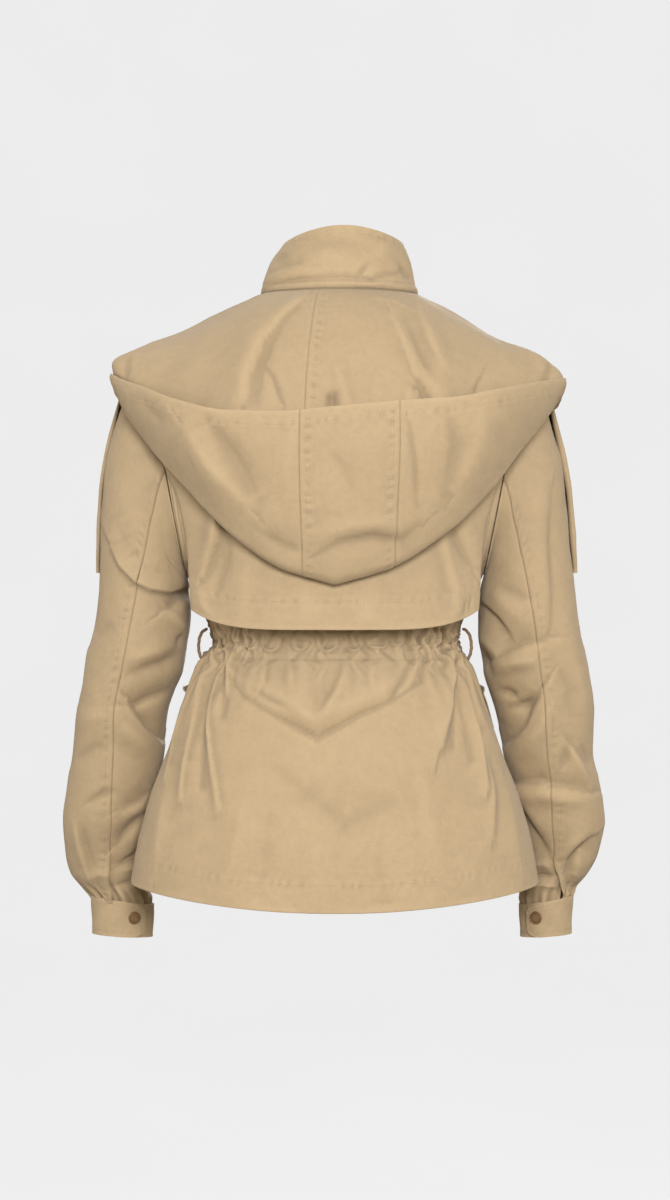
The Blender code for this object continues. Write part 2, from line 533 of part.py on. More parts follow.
# ---------------------------------------------------------------- making objects
def material(name, rgb, roughness, metallic=0.0):
    made = bpy.data.materials.new(name)
    made.use_nodes = True
    shader = made.node_tree.nodes["Principled BSDF"]
    shader.inputs["Base Color"].default_value = (*rgb, 1.0)
    shader.inputs["Roughness"].default_value = roughness
    shader.inputs["Metallic"].default_value = metallic
    return made


def place(name, mesh, finish):
    mesh.materials.append(finish)
    made = bpy.data.objects.new(name, mesh)
    garment.objects.link(made)
    return made


def loft(rows):
    """Faces between rows of (parameters, points). Rows of one length join in quads; unlike rows, as where the
    gathers begin, join in triangles."""
    points, faces, start = [], [], []
    for _, row in rows:
        start.append(len(points))
        points.extend(row)
    for i in range(len(rows) - 1):
        low, high = rows[i][0], rows[i + 1][0]
        a, b = start[i], start[i + 1]
        if len(low) == len(high):
            faces += [(a + j, a + j + 1, b + j + 1, b + j) for j in range(len(low) - 1)]
            continue
        m, n = 0, 0
        while m < len(low) - 1 or n < len(high) - 1:
            low_left, high_left = m < len(low) - 1, n < len(high) - 1
            if not high_left or (low_left and abs(low[m + 1] - low[0]) <= abs(high[n + 1] - high[0])):
                faces.append((a + m, a + m + 1, b + n))
                m += 1
            else:
                faces.append((a + m, b + n + 1, b + n))
                n += 1
    return points, faces


def cloth(name, rows, finish, flip=False, wall=WALL):
    """A cloth panel from its rows; the wall goes inwards from the face."""
    points, faces = loft(rows)
    if flip:
        faces = [tuple(reversed(face)) for face in faces]
    mesh = bpy.data.meshes.new(name)
    mesh.from_pydata([tuple(map(float, p)) for p in points], [], faces)
    mesh.shade_smooth()
    made = place(name, mesh, finish)
    solid = made.modifiers.new("wall", "SOLIDIFY")
    solid.thickness = wall
    solid.offset = -1.0
    return made


def close_ends(count, near):
    """Columns from 0 to 1, with one close to each end, so that the wall stands square at the seams."""
    return np.concatenate([[0.0], np.linspace(near, 1.0 - near, count - 2), [1.0]])


def grid(surface, across, along):
    """Rows of surface(across, v) for each v in along."""
    return [(across, surface(across, np.full(len(across), v))) for v in along]


def gathered_columns(low, high, count, facing):
    """Four columns for each gather, placed by its own phase, between two values of q."""
    q = np.linspace(low, high, 2000)
    phase = gather_phase(q, count)
    steps = np.arange(np.ceil(phase[0] * 4 + 0.5), np.floor(phase[-1] * 4 - 0.5) + 1) / 4
    return np.concatenate([[low], np.interp(steps, phase, q), [high]])


def body_rows(coarse, fine):
    """Rows of a body panel, with the fine columns on the gathered rows."""
    rows = []
    for v in list(range(BODY_ROWS + 1)) + [BODY_ROWS + t for t in YOKE_ROWS]:
        across = fine if v in GATHERED_ROWS else coarse
        rows.append((across, body(across, np.full(len(across), float(v)))))
    return rows


def body_q(low, high):
    """Columns across half a body panel, with as many round the neck as along the shoulder."""
    return np.concatenate([np.linspace(low, NECK_SHARE, 7), np.linspace(NECK_SHARE, high, 7)[1:]])


def make_body(finish):
    edge = 1.0 - 1e-6
    half_coarse = body_q(0.0, edge)
    coarse = np.concatenate([-half_coarse[:0:-1], half_coarse])
    half = gathered_columns(0.0, edge, BACK_GATHERS / 2, 1.0)
    fine = np.concatenate([-half[:0:-1], half])
    cloth("body_back", body_rows(coarse, fine), finish, flip=True)
    close = 0.0016
    for name, side in (("left", 1.0), ("right", -1.0)):
        q = body_q(close, edge)
        q_fine = gathered_columns(close, edge, FRONT_GATHERS, -1.0)
        coarse = side * (2.0 - q)
        fine = side * (2.0 - q_fine)
        cloth("body_front_" + name, body_rows(coarse, fine), finish, flip=side < 0)


def make_capes(finish):
    along = list(range(len(BACK_CAPE))) + [len(BACK_CAPE) - 1 + t for t in YOKE_ROWS]
    cloth("back_cape", grid(back_cape, np.linspace(-1, 1, 23), along), finish, flip=True)
    along = list(range(len(FRONT_CAPE))) + [len(FRONT_CAPE) - 1 + t for t in YOKE_ROWS]
    for name, side in (("left", 1.0), ("right", -1.0)):
        rows = grid(lambda s, v: front_cape(s, v, side), np.linspace(0, 1, 13), along)
        cloth("front_cape_" + name, rows, finish, flip=side < 0)


def make_sleeves(finish):
    for name, side, table in (("left", 1.0, SLEEVE_LEFT), ("right", -1.0, SLEEVE_RIGHT)):
        along = np.linspace(0, len(table) - 1, 19)
        for piece in ("top", "under"):
            def panel(u, v):
                return sleeve(panel_angle(piece, u, v), v, table, side)
            rows = grid(panel, close_ends(13, 0.02), along)
            cloth("sleeve_%s_%s" % (piece, name), rows, finish, flip=side > 0)
        rows = grid(lambda t, v: cuff(t, v, table, side), np.linspace(0, 1, 33), (0.0, 0.5, 1.0))
        cloth("cuff_" + name, rows, finish, flip=side > 0, wall=0.0014)


def make_collar(finish):
    half = np.append(np.arange(0.0, COLLAR_END - 1.0, COLLAR_COLUMN), COLLAR_END) / COLLAR_END
    around = np.concatenate([-half[:0:-1], half])
    cloth("collar", grid(collar, around, (0.0, 1.0, 2.0, 3.0)), finish, flip=True)


def make_hood(finish):
    forward = np.concatenate([[3, 4, 5], np.arange(5.5, 8, 0.5), np.arange(8, len(HOOD))])
    gap = 0.006
    along = np.concatenate([np.linspace(0, 1, 9), [1.25, 1.5, 1.75], np.linspace(2, 3, 6)])
    panels = (
        ("hood_left", np.concatenate([np.linspace(HOOD_SEAM_LEFT + gap, 2, 3), forward])),
        ("hood_centre", np.linspace(HOOD_SEAM_RIGHT + gap, HOOD_SEAM_LEFT - gap, 6)),
        ("hood_right", np.concatenate([-forward[::-1], [-2, -1.6, HOOD_SEAM_RIGHT - gap]])),
    )
    for name, stations in panels:
        seam = np.interp(np.linspace(0, 1, 3 * len(stations) - 2), np.linspace(0, 1, len(stations)), stations)
        cloth(name, grid(hood, seam, (0.0,)) + grid(hood, stations, along[1:]), finish)


def pocket_point(u, v, side, out):
    """A point over the front: u is 0 at the pocket's front edge and 1 at its rear edge."""
    top_share = (v - POCKET_ROWS[0]) / (POCKET_ROWS[1] - POCKET_ROWS[0])
    front_q = POCKET_FRONT_LOW_Q + (POCKET_FRONT_TOP_Q - POCKET_FRONT_LOW_Q) * top_share
    rear_q = POCKET_REAR_LOW_Q + (POCKET_REAR_TOP_Q - POCKET_REAR_LOW_Q) * np.minimum(top_share, 1.0)
    q = front_q + (rear_q - front_q) * u
    return body(side * (2.0 - q), v, out)


def pocket_bulge(u, v):
    """How far a pocket stands off the front: nothing at its sewn edges, less again at its mouth."""
    low, high = POCKET_ROWS
    across = np.sqrt(np.clip(np.sin(np.pi * np.clip(u, 0.0, 1.0)), 0.0, 1.0))
    return POCKET_BULGE * across * ease((v - low) / 1.0) * (1.0 - 0.7 * ease((v - high + 1.5) / 1.5))


def pocket(u, v, side):
    return pocket_point(u, v, side, WALL + 1.5 * SEAM + pocket_bulge(u, v))


def pocket_flap(u, v, side):
    low, high = FLAP_ROWS
    rise = (v - low) / (high - low)
    most = FLAP_CURL_LEFT if side > 0 else FLAP_CURL_RIGHT
    curl = most * ease((u - 0.55) / 0.45) * ease((rise - 0.2) / 0.8)
    across = -0.03 + 1.06 * u
    return pocket_point(across, v, side, 2 * WALL + 5 * SEAM + pocket_bulge(across, v) + curl)


def placket(u, v):
    """The strip over the centre front: u -1 to 1 across it, v the body's rows."""
    width = through(body_columns(-1.0)[0], np.minimum(v, BODY_ROWS))
    q = 2 / np.pi * np.arcsin(PLACKET_HALF_WIDTH / width) * np.abs(u)
    side = np.where(u < 0, -1.0, 1.0)
    return body(side * (2.0 - q), v, WALL + 1.5 * SEAM)


def make_pockets(finish):
    for name, side in (("left", 1.0), ("right", -1.0)):
        rows = grid(lambda u, v: pocket(u, v, side), close_ends(9, 0.05), np.linspace(*POCKET_ROWS, 7))
        cloth("pocket_" + name, rows, finish, flip=side < 0)
        rows = grid(lambda u, v: pocket_flap(u, v, side), close_ends(9, 0.05), np.linspace(*FLAP_ROWS, 5))
        cloth("pocket_flap_" + name, rows, finish, flip=side < 0)


def make_placket(finish):
    rows = set(range(BODY_ROWS + 1)) | set(PLACKET_SNAP_ROWS) | {BODY_ROWS + t for t in YOKE_ROWS[:2]}
    rows = sorted(float(v) for v in rows | {PLACKET_TOP_ROW})
    cloth("front_placket", grid(placket, np.linspace(-1, 1, 5), rows), finish)


def snap(name, surface, u, v, finish, outside):
    """A snap cap lying on a surface: a low cone frustum turned to the surface's own normal."""
    at = surface(np.array([u]), np.array([v]))[0]
    step = 0.01
    along = surface(np.array([u + step]), np.array([v]))[0] - surface(np.array([u - step]), np.array([v]))[0]
    up = surface(np.array([u]), np.array([v + step]))[0] - surface(np.array([u]), np.array([v - step]))[0]
    normal = Vector(np.cross(along, up)).normalized()
    if normal.dot(Vector(outside)) < 0:
        normal.negate()
    centre = Vector(at) + normal * (0.5 * SNAP_THICK + 1.5 * SEAM)
    mesh = bpy.data.meshes.new(name)
    shape = bmesh.new()
    bmesh.ops.create_cone(shape, cap_ends=True, segments=14, radius1=SNAP_RADIUS, radius2=0.8 * SNAP_RADIUS,
                          depth=SNAP_THICK)
    turn = normal.to_track_quat("Z", "Y").to_matrix().to_4x4()
    bmesh.ops.transform(shape, matrix=Matrix.Translation(centre) @ turn, verts=shape.verts)
    shape.to_mesh(mesh)
    shape.free()
    place(name, mesh, finish)


def make_snaps(finish):
    for i, v in enumerate(PLACKET_SNAP_ROWS):
        snap("placket_snap_%d" % (i + 1), placket, 0.0, v, finish, (0, -1, 0))
    for name, side, table in (("left", 1.0, SLEEVE_LEFT), ("right", -1.0, SLEEVE_RIGHT)):
        def band(t, v):
            return cuff(t, v, table, side)
        snap("cuff_snap_" + name, band, CUFF_SNAP_TURN, CUFF_SNAP_DOWN, finish, (0, 1, 0))


def make_cords(finish):
    for name, side in (("left", 1.0), ("right", -1.0)):
        route = np.array(CORD_ROUTE)
        at = np.linspace(0, len(route) - 1, 16)
        smooth_route = np.stack([through(route[:, i], at) for i in range(3)], axis=-1)
        curve = bpy.data.curves.new("drawcord_" + name, "CURVE")
        curve.dimensions = "3D"
        curve.bevel_depth = CORD_RADIUS
        curve.bevel_resolution = 2
        curve.use_fill_caps = True
        line = curve.splines.new("POLY")
        line.points.add(len(at) - 1)
        for point, (x, y, z) in zip(line.points, smooth_route):
            point.co = (side * x, y, z, 1.0)
        place("drawcord_" + name, curve, finish)


def make():
    finish = material("tan_cloth", CLOTH_RGB, 0.85)
    make_pockets(finish)
    make_placket(finish)
    make_snaps(material("antique_brass", SNAP_RGB, 0.4, 0.8))
    make_cords(material("brown_cord", CORD_RGB, 0.8))
    make_body(finish)
    make_capes(finish)
    make_sleeves(finish)
    make_collar(finish)
    make_hood(finish)


for old in list(bpy.data.objects):
    bpy.data.objects.remove(old, do_unlink=True)
garment = bpy.data.collections.new("hooded_jacket")
bpy.context.scene.collection.children.link(garment)
make()
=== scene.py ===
"""Hooded utility jacket in tan cotton, worn form: the cloth, stitching, snaps and drawcord on its frame.

Metres, +Z up, in the frame's own axes: the front faces -Y and the wearer's left is +X. Every cloth piece is
a thin shell on its solid's surface, with its creases, gathers, seams and puckers as relief along the normal,
its hems turned under, and its topstitching as real stitches.
"""

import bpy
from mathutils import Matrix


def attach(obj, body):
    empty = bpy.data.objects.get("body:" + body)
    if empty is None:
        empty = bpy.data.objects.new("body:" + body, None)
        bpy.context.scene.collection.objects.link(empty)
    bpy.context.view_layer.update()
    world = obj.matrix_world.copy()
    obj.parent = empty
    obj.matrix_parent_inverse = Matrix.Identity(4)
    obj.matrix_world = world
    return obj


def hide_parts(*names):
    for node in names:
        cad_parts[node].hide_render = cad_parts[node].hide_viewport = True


bl_info = {
    "name": "Hooded utility jacket",
    "version": (1, 0, 0),
    "blender": (4, 5, 0),
    "location": "3D View > Sidebar > Jacket",
    "description": "Dresses the frame of a hooded utility jacket with cloth, stitching, snaps and a drawcord",
    "category": "Object",
}

from collections import namedtuple
from itertools import product

import bmesh
import bpy
import numpy as np
from bpy.props import FloatProperty, FloatVectorProperty, PointerProperty
from mathutils import Vector

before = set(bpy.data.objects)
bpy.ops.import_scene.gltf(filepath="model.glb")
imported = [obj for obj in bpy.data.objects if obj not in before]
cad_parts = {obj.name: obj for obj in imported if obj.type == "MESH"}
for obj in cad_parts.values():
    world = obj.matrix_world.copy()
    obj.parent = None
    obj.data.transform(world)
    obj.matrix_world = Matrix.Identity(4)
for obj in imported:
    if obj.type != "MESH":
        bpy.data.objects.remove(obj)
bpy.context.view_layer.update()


def in_mm(row, lengths, *values):
    """A table of named rows. Their first columns, as many as lengths, are written in millimetres."""
    return [row(*(v / 1000 if i < lengths else v for i, v in enumerate(each))) for each in values]


# ---------------- the cut: sizes that the solids share
SEAM = 0.0004
CAD_WALL = 0.0013
NECK_X = -0.004
NECK_Y = -0.006
NECK_HALF_WIDTH = 0.078
NECK_HALF_DEPTH = 0.076
NECK_BACK_Z = 0.002
NECK_DROP = 0.042
SHOULDER_TIP = (0.1877, 0.0, -0.062)
ARM_CENTRE = (0.168, -0.170)
ARM_TILT_X = 0.0197
ARM_HALF_HEIGHT = 0.108
ARM_HALF_DEPTH = 0.062
NECK_SHARE = 0.42
BACK_GATHERS = 24
FRONT_GATHERS = 9
GATHER_DEPTH = 0.0024
PLACKET_HALF_WIDTH = 0.024
CUFF_HEIGHT = 0.036
CUFF_OVERLAP = 0.022
CUFF_END_ANGLE = 136.0
CUFF_SNAP_TURN = 0.945
CUFF_SNAP_DOWN = 0.42
CUFF_TAB = 0.925
CUFF_WALL = 0.0016
CUFF_STANDS_OUT = 0.0004
CUFF_LAP_OVER = 0.0026
CUFF_LAP_UNDER = 0.0006
CUFF_FLARE = -0.0015
SNAP_RADIUS = 0.0065
SNAP_THICK = 0.0022
CORD_RADIUS = 0.0017
CORD_WIND = 900.0
SIDES = (("left", 1.0), ("right", -1.0))

# The body, a ring of cloth for each height from the hem up to the underarm. z_* are heights at the centre
# back, side and centre front; x_side is the half width, y_side where the side seam lies, y_back and y_front
# the depths, and gather how strongly the drawn waist gathers it.
Ring = namedtuple("Ring", "z_back z_side z_front x_side y_side y_back y_front gather")
BODY = in_mm(Ring, 7,
    (-603, -583, -592, 202.5, 18, 156, -132, 0),
    (-560, -545, -552, 196, 18, 153, -130, 0),
    (-509, -500, -504, 183.5, 16, 148, -127, 0),
    (-459, -455, -457, 166.5, 14, 140, -122, 0),
    (-416, -415, -416, 152.5, 10, 128, -115, 0),
    (-385, -385, -385, 140.5, 6, 117, -107, 0),
    (-364, -363, -363, 129.5, 3, 107, -100, 0),
    (-355, -354.5, -354.5, 124.5, 0, 101, -96, 0.7),
    (-346, -345.5, -345.5, 120.5, 0, 97, -93, 1),
    (-337, -336.5, -336.5, 122.5, 0, 99, -95, 0.6),
    (-324, -323, -323, 127.5, 0, 104, -102, 0),
    (-300, -300, -300, 134.5, 0, 109, -108, 0))

# Above the underarm the edges follow the armhole. arm is the angle round it, 180 at the underarm and 90 half
# way up, and turn is 1 where the cloth rounds fully to the side.
Chest = namedtuple("Chest", "z_back z_front y_back y_front arm turn")
CHEST = in_mm(Chest, 4,
    (-270, -270, 112, -112, 180, 1),
    (-245, -245, 116, -117, 150, 0.8),
    (-205, -208, 119, -119, 120, 0.55),
    (-160, -165, 118, -116, 90, 0.35))
BODY_ROWS = len(BODY) + len(CHEST) - 1
BODY_POWER = 2.3
BODY_NECK_TUCK = 0.0080
BACK_UNGATHERED = 0.02
FRONT_UNGATHERED = 0.15

# Capes: rows from the free lower edge to the base of the yoke.
Cape = namedtuple("Cape", "z_mid z_edge x_edge y_edge y_mid turn")
BACK_CAPE = in_mm(Cape, 5,
    (-331.5, -312.5, 140.5, 84, 142, 0.25),
    (-300, -285, 142.5, 81, 138.5, 0.25),
    (-255, -245, 145.5, 78, 134.5, 0.25),
    (-205, -205, 154, 76, 130, 0.25),
    (-155, -165, 171, 72, 124, 0.25))
FRONT_CAPE = in_mm(Cape, 5,
    (-264, -275.5, 238.5, 2, -130, 1),
    (-233, -240, 238.5, 2, -129.5, 1),
    (-195, -200, 237, 1, -127.5, 1),
    (-150, -160, 231, -1, -123, 1))
CAPE_POWER = 2.6
CAPE_OUT = 0.0035
CAPE_TIP_LIFT = 0.0045
BACK_CAPE_NECK_LIFT = -0.0045
FRONT_CAPE_NECK_LIFT = -0.0038
FRONT_CAPE_INNER_X = 0.034
FRONT_CAPE_RIGHT_EXTRA = 0.0035

# Sleeves: the outermost and innermost point of each ring, armhole to cuff, its depth and where it lies in Y.
Sleeve = namedtuple("Sleeve", "x_out z_out x_in z_in y_mid y_half")
SLEEVE_LEFT = in_mm(Sleeve, 6,
    (188.1, -62.2, 148.7, -278.1, 0, 62),
    (190.8, -62.8, 149.7, -278.4, 0, 62),
    (204.5, -88, 148, -283.5, 0, 61),
    (218.5, -125, 146.5, -289, 0, 60),
    (230, -175, 145.5, -296, 1, 59.5),
    (234.3, -235, 144.5, -306, 2, 58),
    (235.2, -285, 144.2, -318, 2, 56.5),
    (241.5, -330, 147, -342, 1, 55),
    (250, -370, 151.5, -372, -3, 53.5),
    (258, -412, 166, -412, -12, 52.5),
    (264, -455, 171.5, -455, -22, 51),
    (271.5, -500, 180, -500, -32, 49),
    (274.5, -530, 186, -530, -40, 47),
    (273.5, -560, 193, -560, -52, 44),
    (269, -580, 194, -581, -58, 40.5),
    (256, -595, 189, -599, -60, 35),
    (248, -602, 184, -611, -60, 31))
SLEEVE_RIGHT = in_mm(Sleeve, 6,
    (188.1, -62.2, 148.7, -278.1, 0, 62),
    (190.8, -62.8, 149.7, -278.4, 0, 62),
    (204, -90, 148, -283.5, 0, 61),
    (216, -129, 146.5, -289, 0, 60),
    (228.5, -178, 145.5, -296, 1, 59.5),
    (234.5, -240, 144, -306, 2, 58),
    (239.5, -290, 142.5, -318, 2, 56.5),
    (245.5, -335, 144, -342, 1, 55),
    (253.5, -372, 148, -372, -3, 53.5),
    (259, -412, 160, -412, -12, 52.5),
    (260, -455, 169, -455, -22, 51),
    (269, -500, 179, -500, -32, 49),
    (272.5, -530, 186, -530, -40, 47),
    (267, -560, 193, -560, -52, 44),
    (256, -582, 193, -581, -58, 39.5),
    (245, -595, 188, -599, -60, 33),
    (242, -602, 187, -611, -60, 29))
# The seams' angles, for each row at the back. The vent opens by degrees from its row on, and its two edges
# lap over and under.
SLEEVE_BACK_SEAM_LEFT = (95, 95, 95, 96, 95, 89, 82, 79, 79, 82, 87, 94, 99, 102, 99, 90, 78)
SLEEVE_BACK_SEAM_RIGHT = (99, 99, 99, 100, 99, 93, 88.5, 86, 88, 92, 95, 101, 106, 107, 92, 70, 57)
SLEEVE_FRONT_SEAM = 262
VENT_ROW = 12.8
VENT_OPEN = 7.0
VENT_LAP_OVER = 0.0026
VENT_LAP_UNDER = -0.0030
SLEEVE_TUCK = 0.0040
SLEEVE_TUCK_NARROWS = 0.0016

# Hood: stations round the neck seam from the centre back (0) to the front corner. fold_* is the lowest line
# of the pouch, edge_* the face opening. The inner layer leaves the neck seam and reaches the fold by a curve
# whose handles are shares of the way out and of the way down. round is the fold's radius, belly how far the
# outer layer stands out, and neck the angle round the neck seam.
Hood = namedtuple("Hood", "fold_x fold_y fold_z edge_x edge_y edge_z round belly neck out1 drop1 out2 drop2")
HOOD = in_mm(Hood, 8,
    (0, 160, -288, 0, 186, -120.5, 6, 8, 0, 0.6, 0.04, 1.35, 0.5),
    (50, 158, -273, 55, 186, -125, 6, 8.5, 22, 0.58, 0.04, 1.3, 0.5),
    (100, 148, -238, 105, 179, -123.5, 6, 9, 42, 0.52, 0.05, 1.22, 0.5),
    (143, 122, -195, 148, 157, -113.5, 5.5, 8.5, 58, 0.46, 0.08, 1.14, 0.52),
    (178, 93, -154, 185, 117, -98.5, 5, 7, 70, 0.38, 0.14, 1.12, 0.5),
    (205, 60, -116, 212, 67, -86, 4, 4, 82, 0.28, 0.18, 1.15, 0.52),
    (218, 24, -91, 223.5, 26, -74, 2.8, 1.5, 92, 0.2, 0.09, 1.16, 0.59),
    (218.5, -32, -97, 222.5, -34, -87, 2.5, 0.8, 106, 0.24, -0.06, 1.15, 0.63),
    (194, -92, -111, 197, -96, -102, 2.5, 0.6, 122, 0.34, -0.08, 1.12, 0.56),
    (142, -130, -113, 144, -135, -105, 2.5, 0.6, 140, 0.5, -0.06, 1.18, 0.48),
    (88, -136, -98, 89, -140, -90, 2.5, 0.6, 156, 0.55, 0, 1.22, 0.5),
    (42, -122, -75, 43, -125, -68, 2.5, 0.5, 168, 0.5, 0.08, 1.2, 0.5))
# The right half hangs lower at its tip and higher at its edge: what each station adds there.
HoodRight = namedtuple("HoodRight", "x fold_z edge_z")
HOOD_RIGHT = in_mm(HoodRight, 3,
    (0, 0, 0),
    (0, -0.5, 9.5),
    (0, -4.6, 11.5),
    (0, -8.9, 9.5),
    (0, -5, 3.5),
    (2, -6, -2),
    (5, -9, -9),
    (5, -10, -10),
    (4, -8, -8),
    (2, -4, -4),
    (0, 0, 0),
    (0, 0, 0))
# The hood's tips as worn, left and right: the inner layer fills out and up and sags, the edge hangs down and
# back in. at is where the filling lies, in w.
Tip = namedtuple("Tip", "out up down back sag at")
HOOD_TIPS = in_mm(Tip, 5,
    (6, 3, 6, 2, 3, 0.82),
    (4, 1, 1.5, 1, 5.5, 0.88))
HOOD_NECK_OUT = 0.0016
HOOD_FRONT_LIFT = 0.0022
HOOD_FOLD_TURNS_IN = 0.0035
HOOD_OUTSIDE_TURNS_IN = 0.0080
# The seams between the three panels, in stations.
HOOD_SEAM_LEFT = 0.60
HOOD_SEAM_RIGHT = -1.12

# Collar: rows from the neck seam to the top edge. Its front ends lie at an angle from the centre back, and
# spread by degrees towards the top.
Collar = namedtuple("Collar", "x_mid half_width y_mid half_depth z_back z_side z_front")
COLLAR = in_mm(Collar, 7,
    (-4, 78, -6, 76, -4.4, -4.4, -46.4),
    (-4.5, 75.5, -7, 73.5, 15, 14, -28),
    (-5.5, 70, -10, 66, 40, 35, -8),
    (-8.5, 60.5, -12, 60, 66, 52, 8))
COLLAR_END = 176
COLLAR_SPREAD = 14

# Pockets on the fronts, in the body's own q (0 centre front, 1 side seam) and rows. The flap's rear top
# corner curls out.
POCKET_ROWS = (1.55, 4.35)
FLAP_ROWS = (3.55, 5.0)
POCKET_FRONT_TOP_Q = 0.36
POCKET_FRONT_LOW_Q = 0.44
POCKET_REAR_TOP_Q = 0.93
POCKET_REAR_LOW_Q = 0.72
POCKET_BULGE = 0.0050
FLAP_CURL_LEFT = 0.0060
FLAP_CURL_RIGHT = 0.0030

# Drawcord: the loop that stands out of the waist tunnel at each side, for the left.
CORD_ROUTE = (
    (0.1268, 0.0080, -0.3318),
    (0.1315, 0.0076, -0.3345),
    (0.1345, 0.0064, -0.3392),
    (0.1359, 0.0044, -0.3450),
    (0.1363, 0.0018, -0.3508),
    (0.1357, -0.0012, -0.3562),
    (0.1342, -0.0044, -0.3608),
    (0.1318, -0.0076, -0.3644),
)
PLACKET_SNAP_ROWS = (1.2, 3.7, 11.0, 13.6, 15.45)
PLACKET_TOP_ROW = 15.86

# ---------------- creases, placed one by one
# At a lean of 1 the left of a crease's path falls off slowly and the right drops at once, and at -1 the other
# way round.
Crease = namedtuple("Crease", "path width height lean")


def placed(*rows):
    """Creases from rows in millimetres: the half width, the height (+) or depth (-) and the lean, which has
    no unit, then x and z of each point of the path."""
    return [Crease(np.reshape(row[3:], (-1, 2)) / 1000, row[0] / 1000, row[1] / 1000, row[2]) for row in rows]


BACK_CREASES = placed(
    (18, -6.6, 0.55, 114, -357, 104, -379, 90, -396, 58, -414, 17, -435, -26, -412, -54, -401, -81, -384, -93,
     -361),
    (17, 4, 0, 105, -369, 90, -384, 61, -400, 19, -417, -24, -400, -55, -388, -74, -373),
    (3.2, -2.6, 0.3, 104, -379, 90, -396, 58, -414, 17, -435, -26, -412, -54, -401, -81, -384),
    (3.2, 6.2, 0.2, 119.5, -352, 130, -370, 138, -390, 147, -413, 156, -440, 164, -480),
    (3.4, 6.4, 0.3, 118, -354, 127, -372, 132.5, -388, 138.5, -415, 142.5, -440, 150, -496),
    (5.5, -5.6, 0, 121, -363, 130, -386, 136, -410, 143, -454),
    (3.6, 6.6, 0.3, 110, -354, 119, -373, 123, -395, 123, -421, 118, -467, 112, -504),
    (6, -6, 0, 113, -365, 126, -400, 131, -434, 130, -482),
    (5, -5.1, 0, 107, -365, 111, -390, 110, -415),
    (3.4, 4.9, 0.2, 103, -357, 105, -375, 108, -394),
    (4.5, 4.1, 0.4, 67, -361, 70, -384, 76, -394),
    (4.5, 3.5, 0, 44, -361, 43, -388),
    (6, -4.1, 0, 80, -390, 65, -398, 45, -408),
    (6, 4.1, -0.3, -13, -363, -3, -390, 16, -423),
    (10, -2, 0, 7, -365, 13, -390, 20, -406),
    (4.2, -5.2, 0, -55, -398, -65, -383, -73, -363),
    (5, 2.9, 0, -34, -365, -36, -390),
    (3, -5.2, 0, -89, -357, -85, -381, -78, -384),
    (3.4, 4.1, 0, -80, -357, -78, -377),
    (9, 9.4, 0.6, -113, -357, -114, -379, -112, -408, -102, -446),
    (6, -6.5, 0, -120, -365, -120, -400, -116, -443),
    (5, 7.2, 0.5, -126, -369, -132, -400, -140, -443, -145, -487),
    (5.5, -6.5, 0, -122, -377, -126, -411, -133, -458),
    (5.5, -5.2, 0, -134, -390, -144, -429, -153, -472),
    (6, 4.9, 0.4, -147, -437, -152, -494, -151, -533),
    (26, -5.8, 0, 63, -458, -9, -517, -65, -496),
    (14, 4.1, 0, 86, -487, 91, -525, 103, -577),
    (16, -2.9, 0, 61, -501, 67, -544, 70, -593),
    (13, 3.8, 0, -82, -467, -90, -516, -101, -573),
    (18, -2.6, 0, -40, -525, -43, -564, -49, -597),
    (16, 2.3, 0, 20, -531, 18, -564, 22, -602),
    (10, 4.3, 0.3, 161, -472, 169, -523, 176, -573),
    (10, 4.3, 0.3, -166, -482, -174, -533, -182, -573),
    (2.6, 5.2, 0, 119, -334, 110, -347),
    (2.4, -4.6, 0, 108, -336, 113, -352),
    (2.8, 5.5, 0, 101, -336, 94, -352),
    (2.6, 4.9, 0, 92, -350, 100, -365),
    (2.8, 5.2, 0, 103, -352, 113, -364),
    (2.8, 4.9, 0, 87, -339, 82, -356),
    (2.4, -4.3, 0, 79, -352, 89, -366),
    (2.6, 5.5, 0, -116, -334, -108, -350),
    (2.4, -4.6, 0, -104, -336, -111, -354),
    (2.8, 5.2, 0, -99, -337, -92, -349),
    (2.8, 5.2, 0, -93, -350, -103, -367),
    (2.6, 4.6, 0, -107, -352, -116, -366),
    (2.8, 4.9, 0, -84, -338, -88, -354),
    (2.6, -4.3, 0, 117, -342, 105, -357),
    (2.6, -4.3, 0, -113, -342, -101, -359))
FRONT_CREASES = placed(
    (8.5, 4.6, 0.4, 104, -360, 98, -395, 86, -440, 78, -500),
    (7, 3.4, -0.3, 78, -362, 70, -392, 64, -420),
    (7, 2.6, 0, 50, -360, 48, -388, 52, -415),
    (7.5, -3, 0, 90, -366, 83, -400, 75, -446),
    (9, 4.8, -0.4, 120, -364, 122, -400, 130, -450, 140, -520),
    (12, 3.6, 0.3, 150, -470, 158, -520, 168, -570),
    (9, 5, -0.4, -108, -360, -100, -398, -92, -446, -90, -505),
    (7, 3.2, 0.3, -72, -361, -68, -394, -58, -430),
    (6, 2.4, 0, -45, -360, -46, -382, -40, -405),
    (7.5, -3, 0, -88, -366, -82, -404, -72, -440),
    (9, 4.4, 0.4, -124, -366, -126, -410, -134, -460, -142, -520),
    (10, -2.6, 0.2, 118, -318, 100, -300, 70, -290),
    (10, -2.6, -0.2, -118, -320, -96, -305, -62, -296),
    (15, 2, 0, 60, -520, 64, -555, 66, -590),
    (15, 2.2, 0, -66, -515, -74, -550, -76, -588))
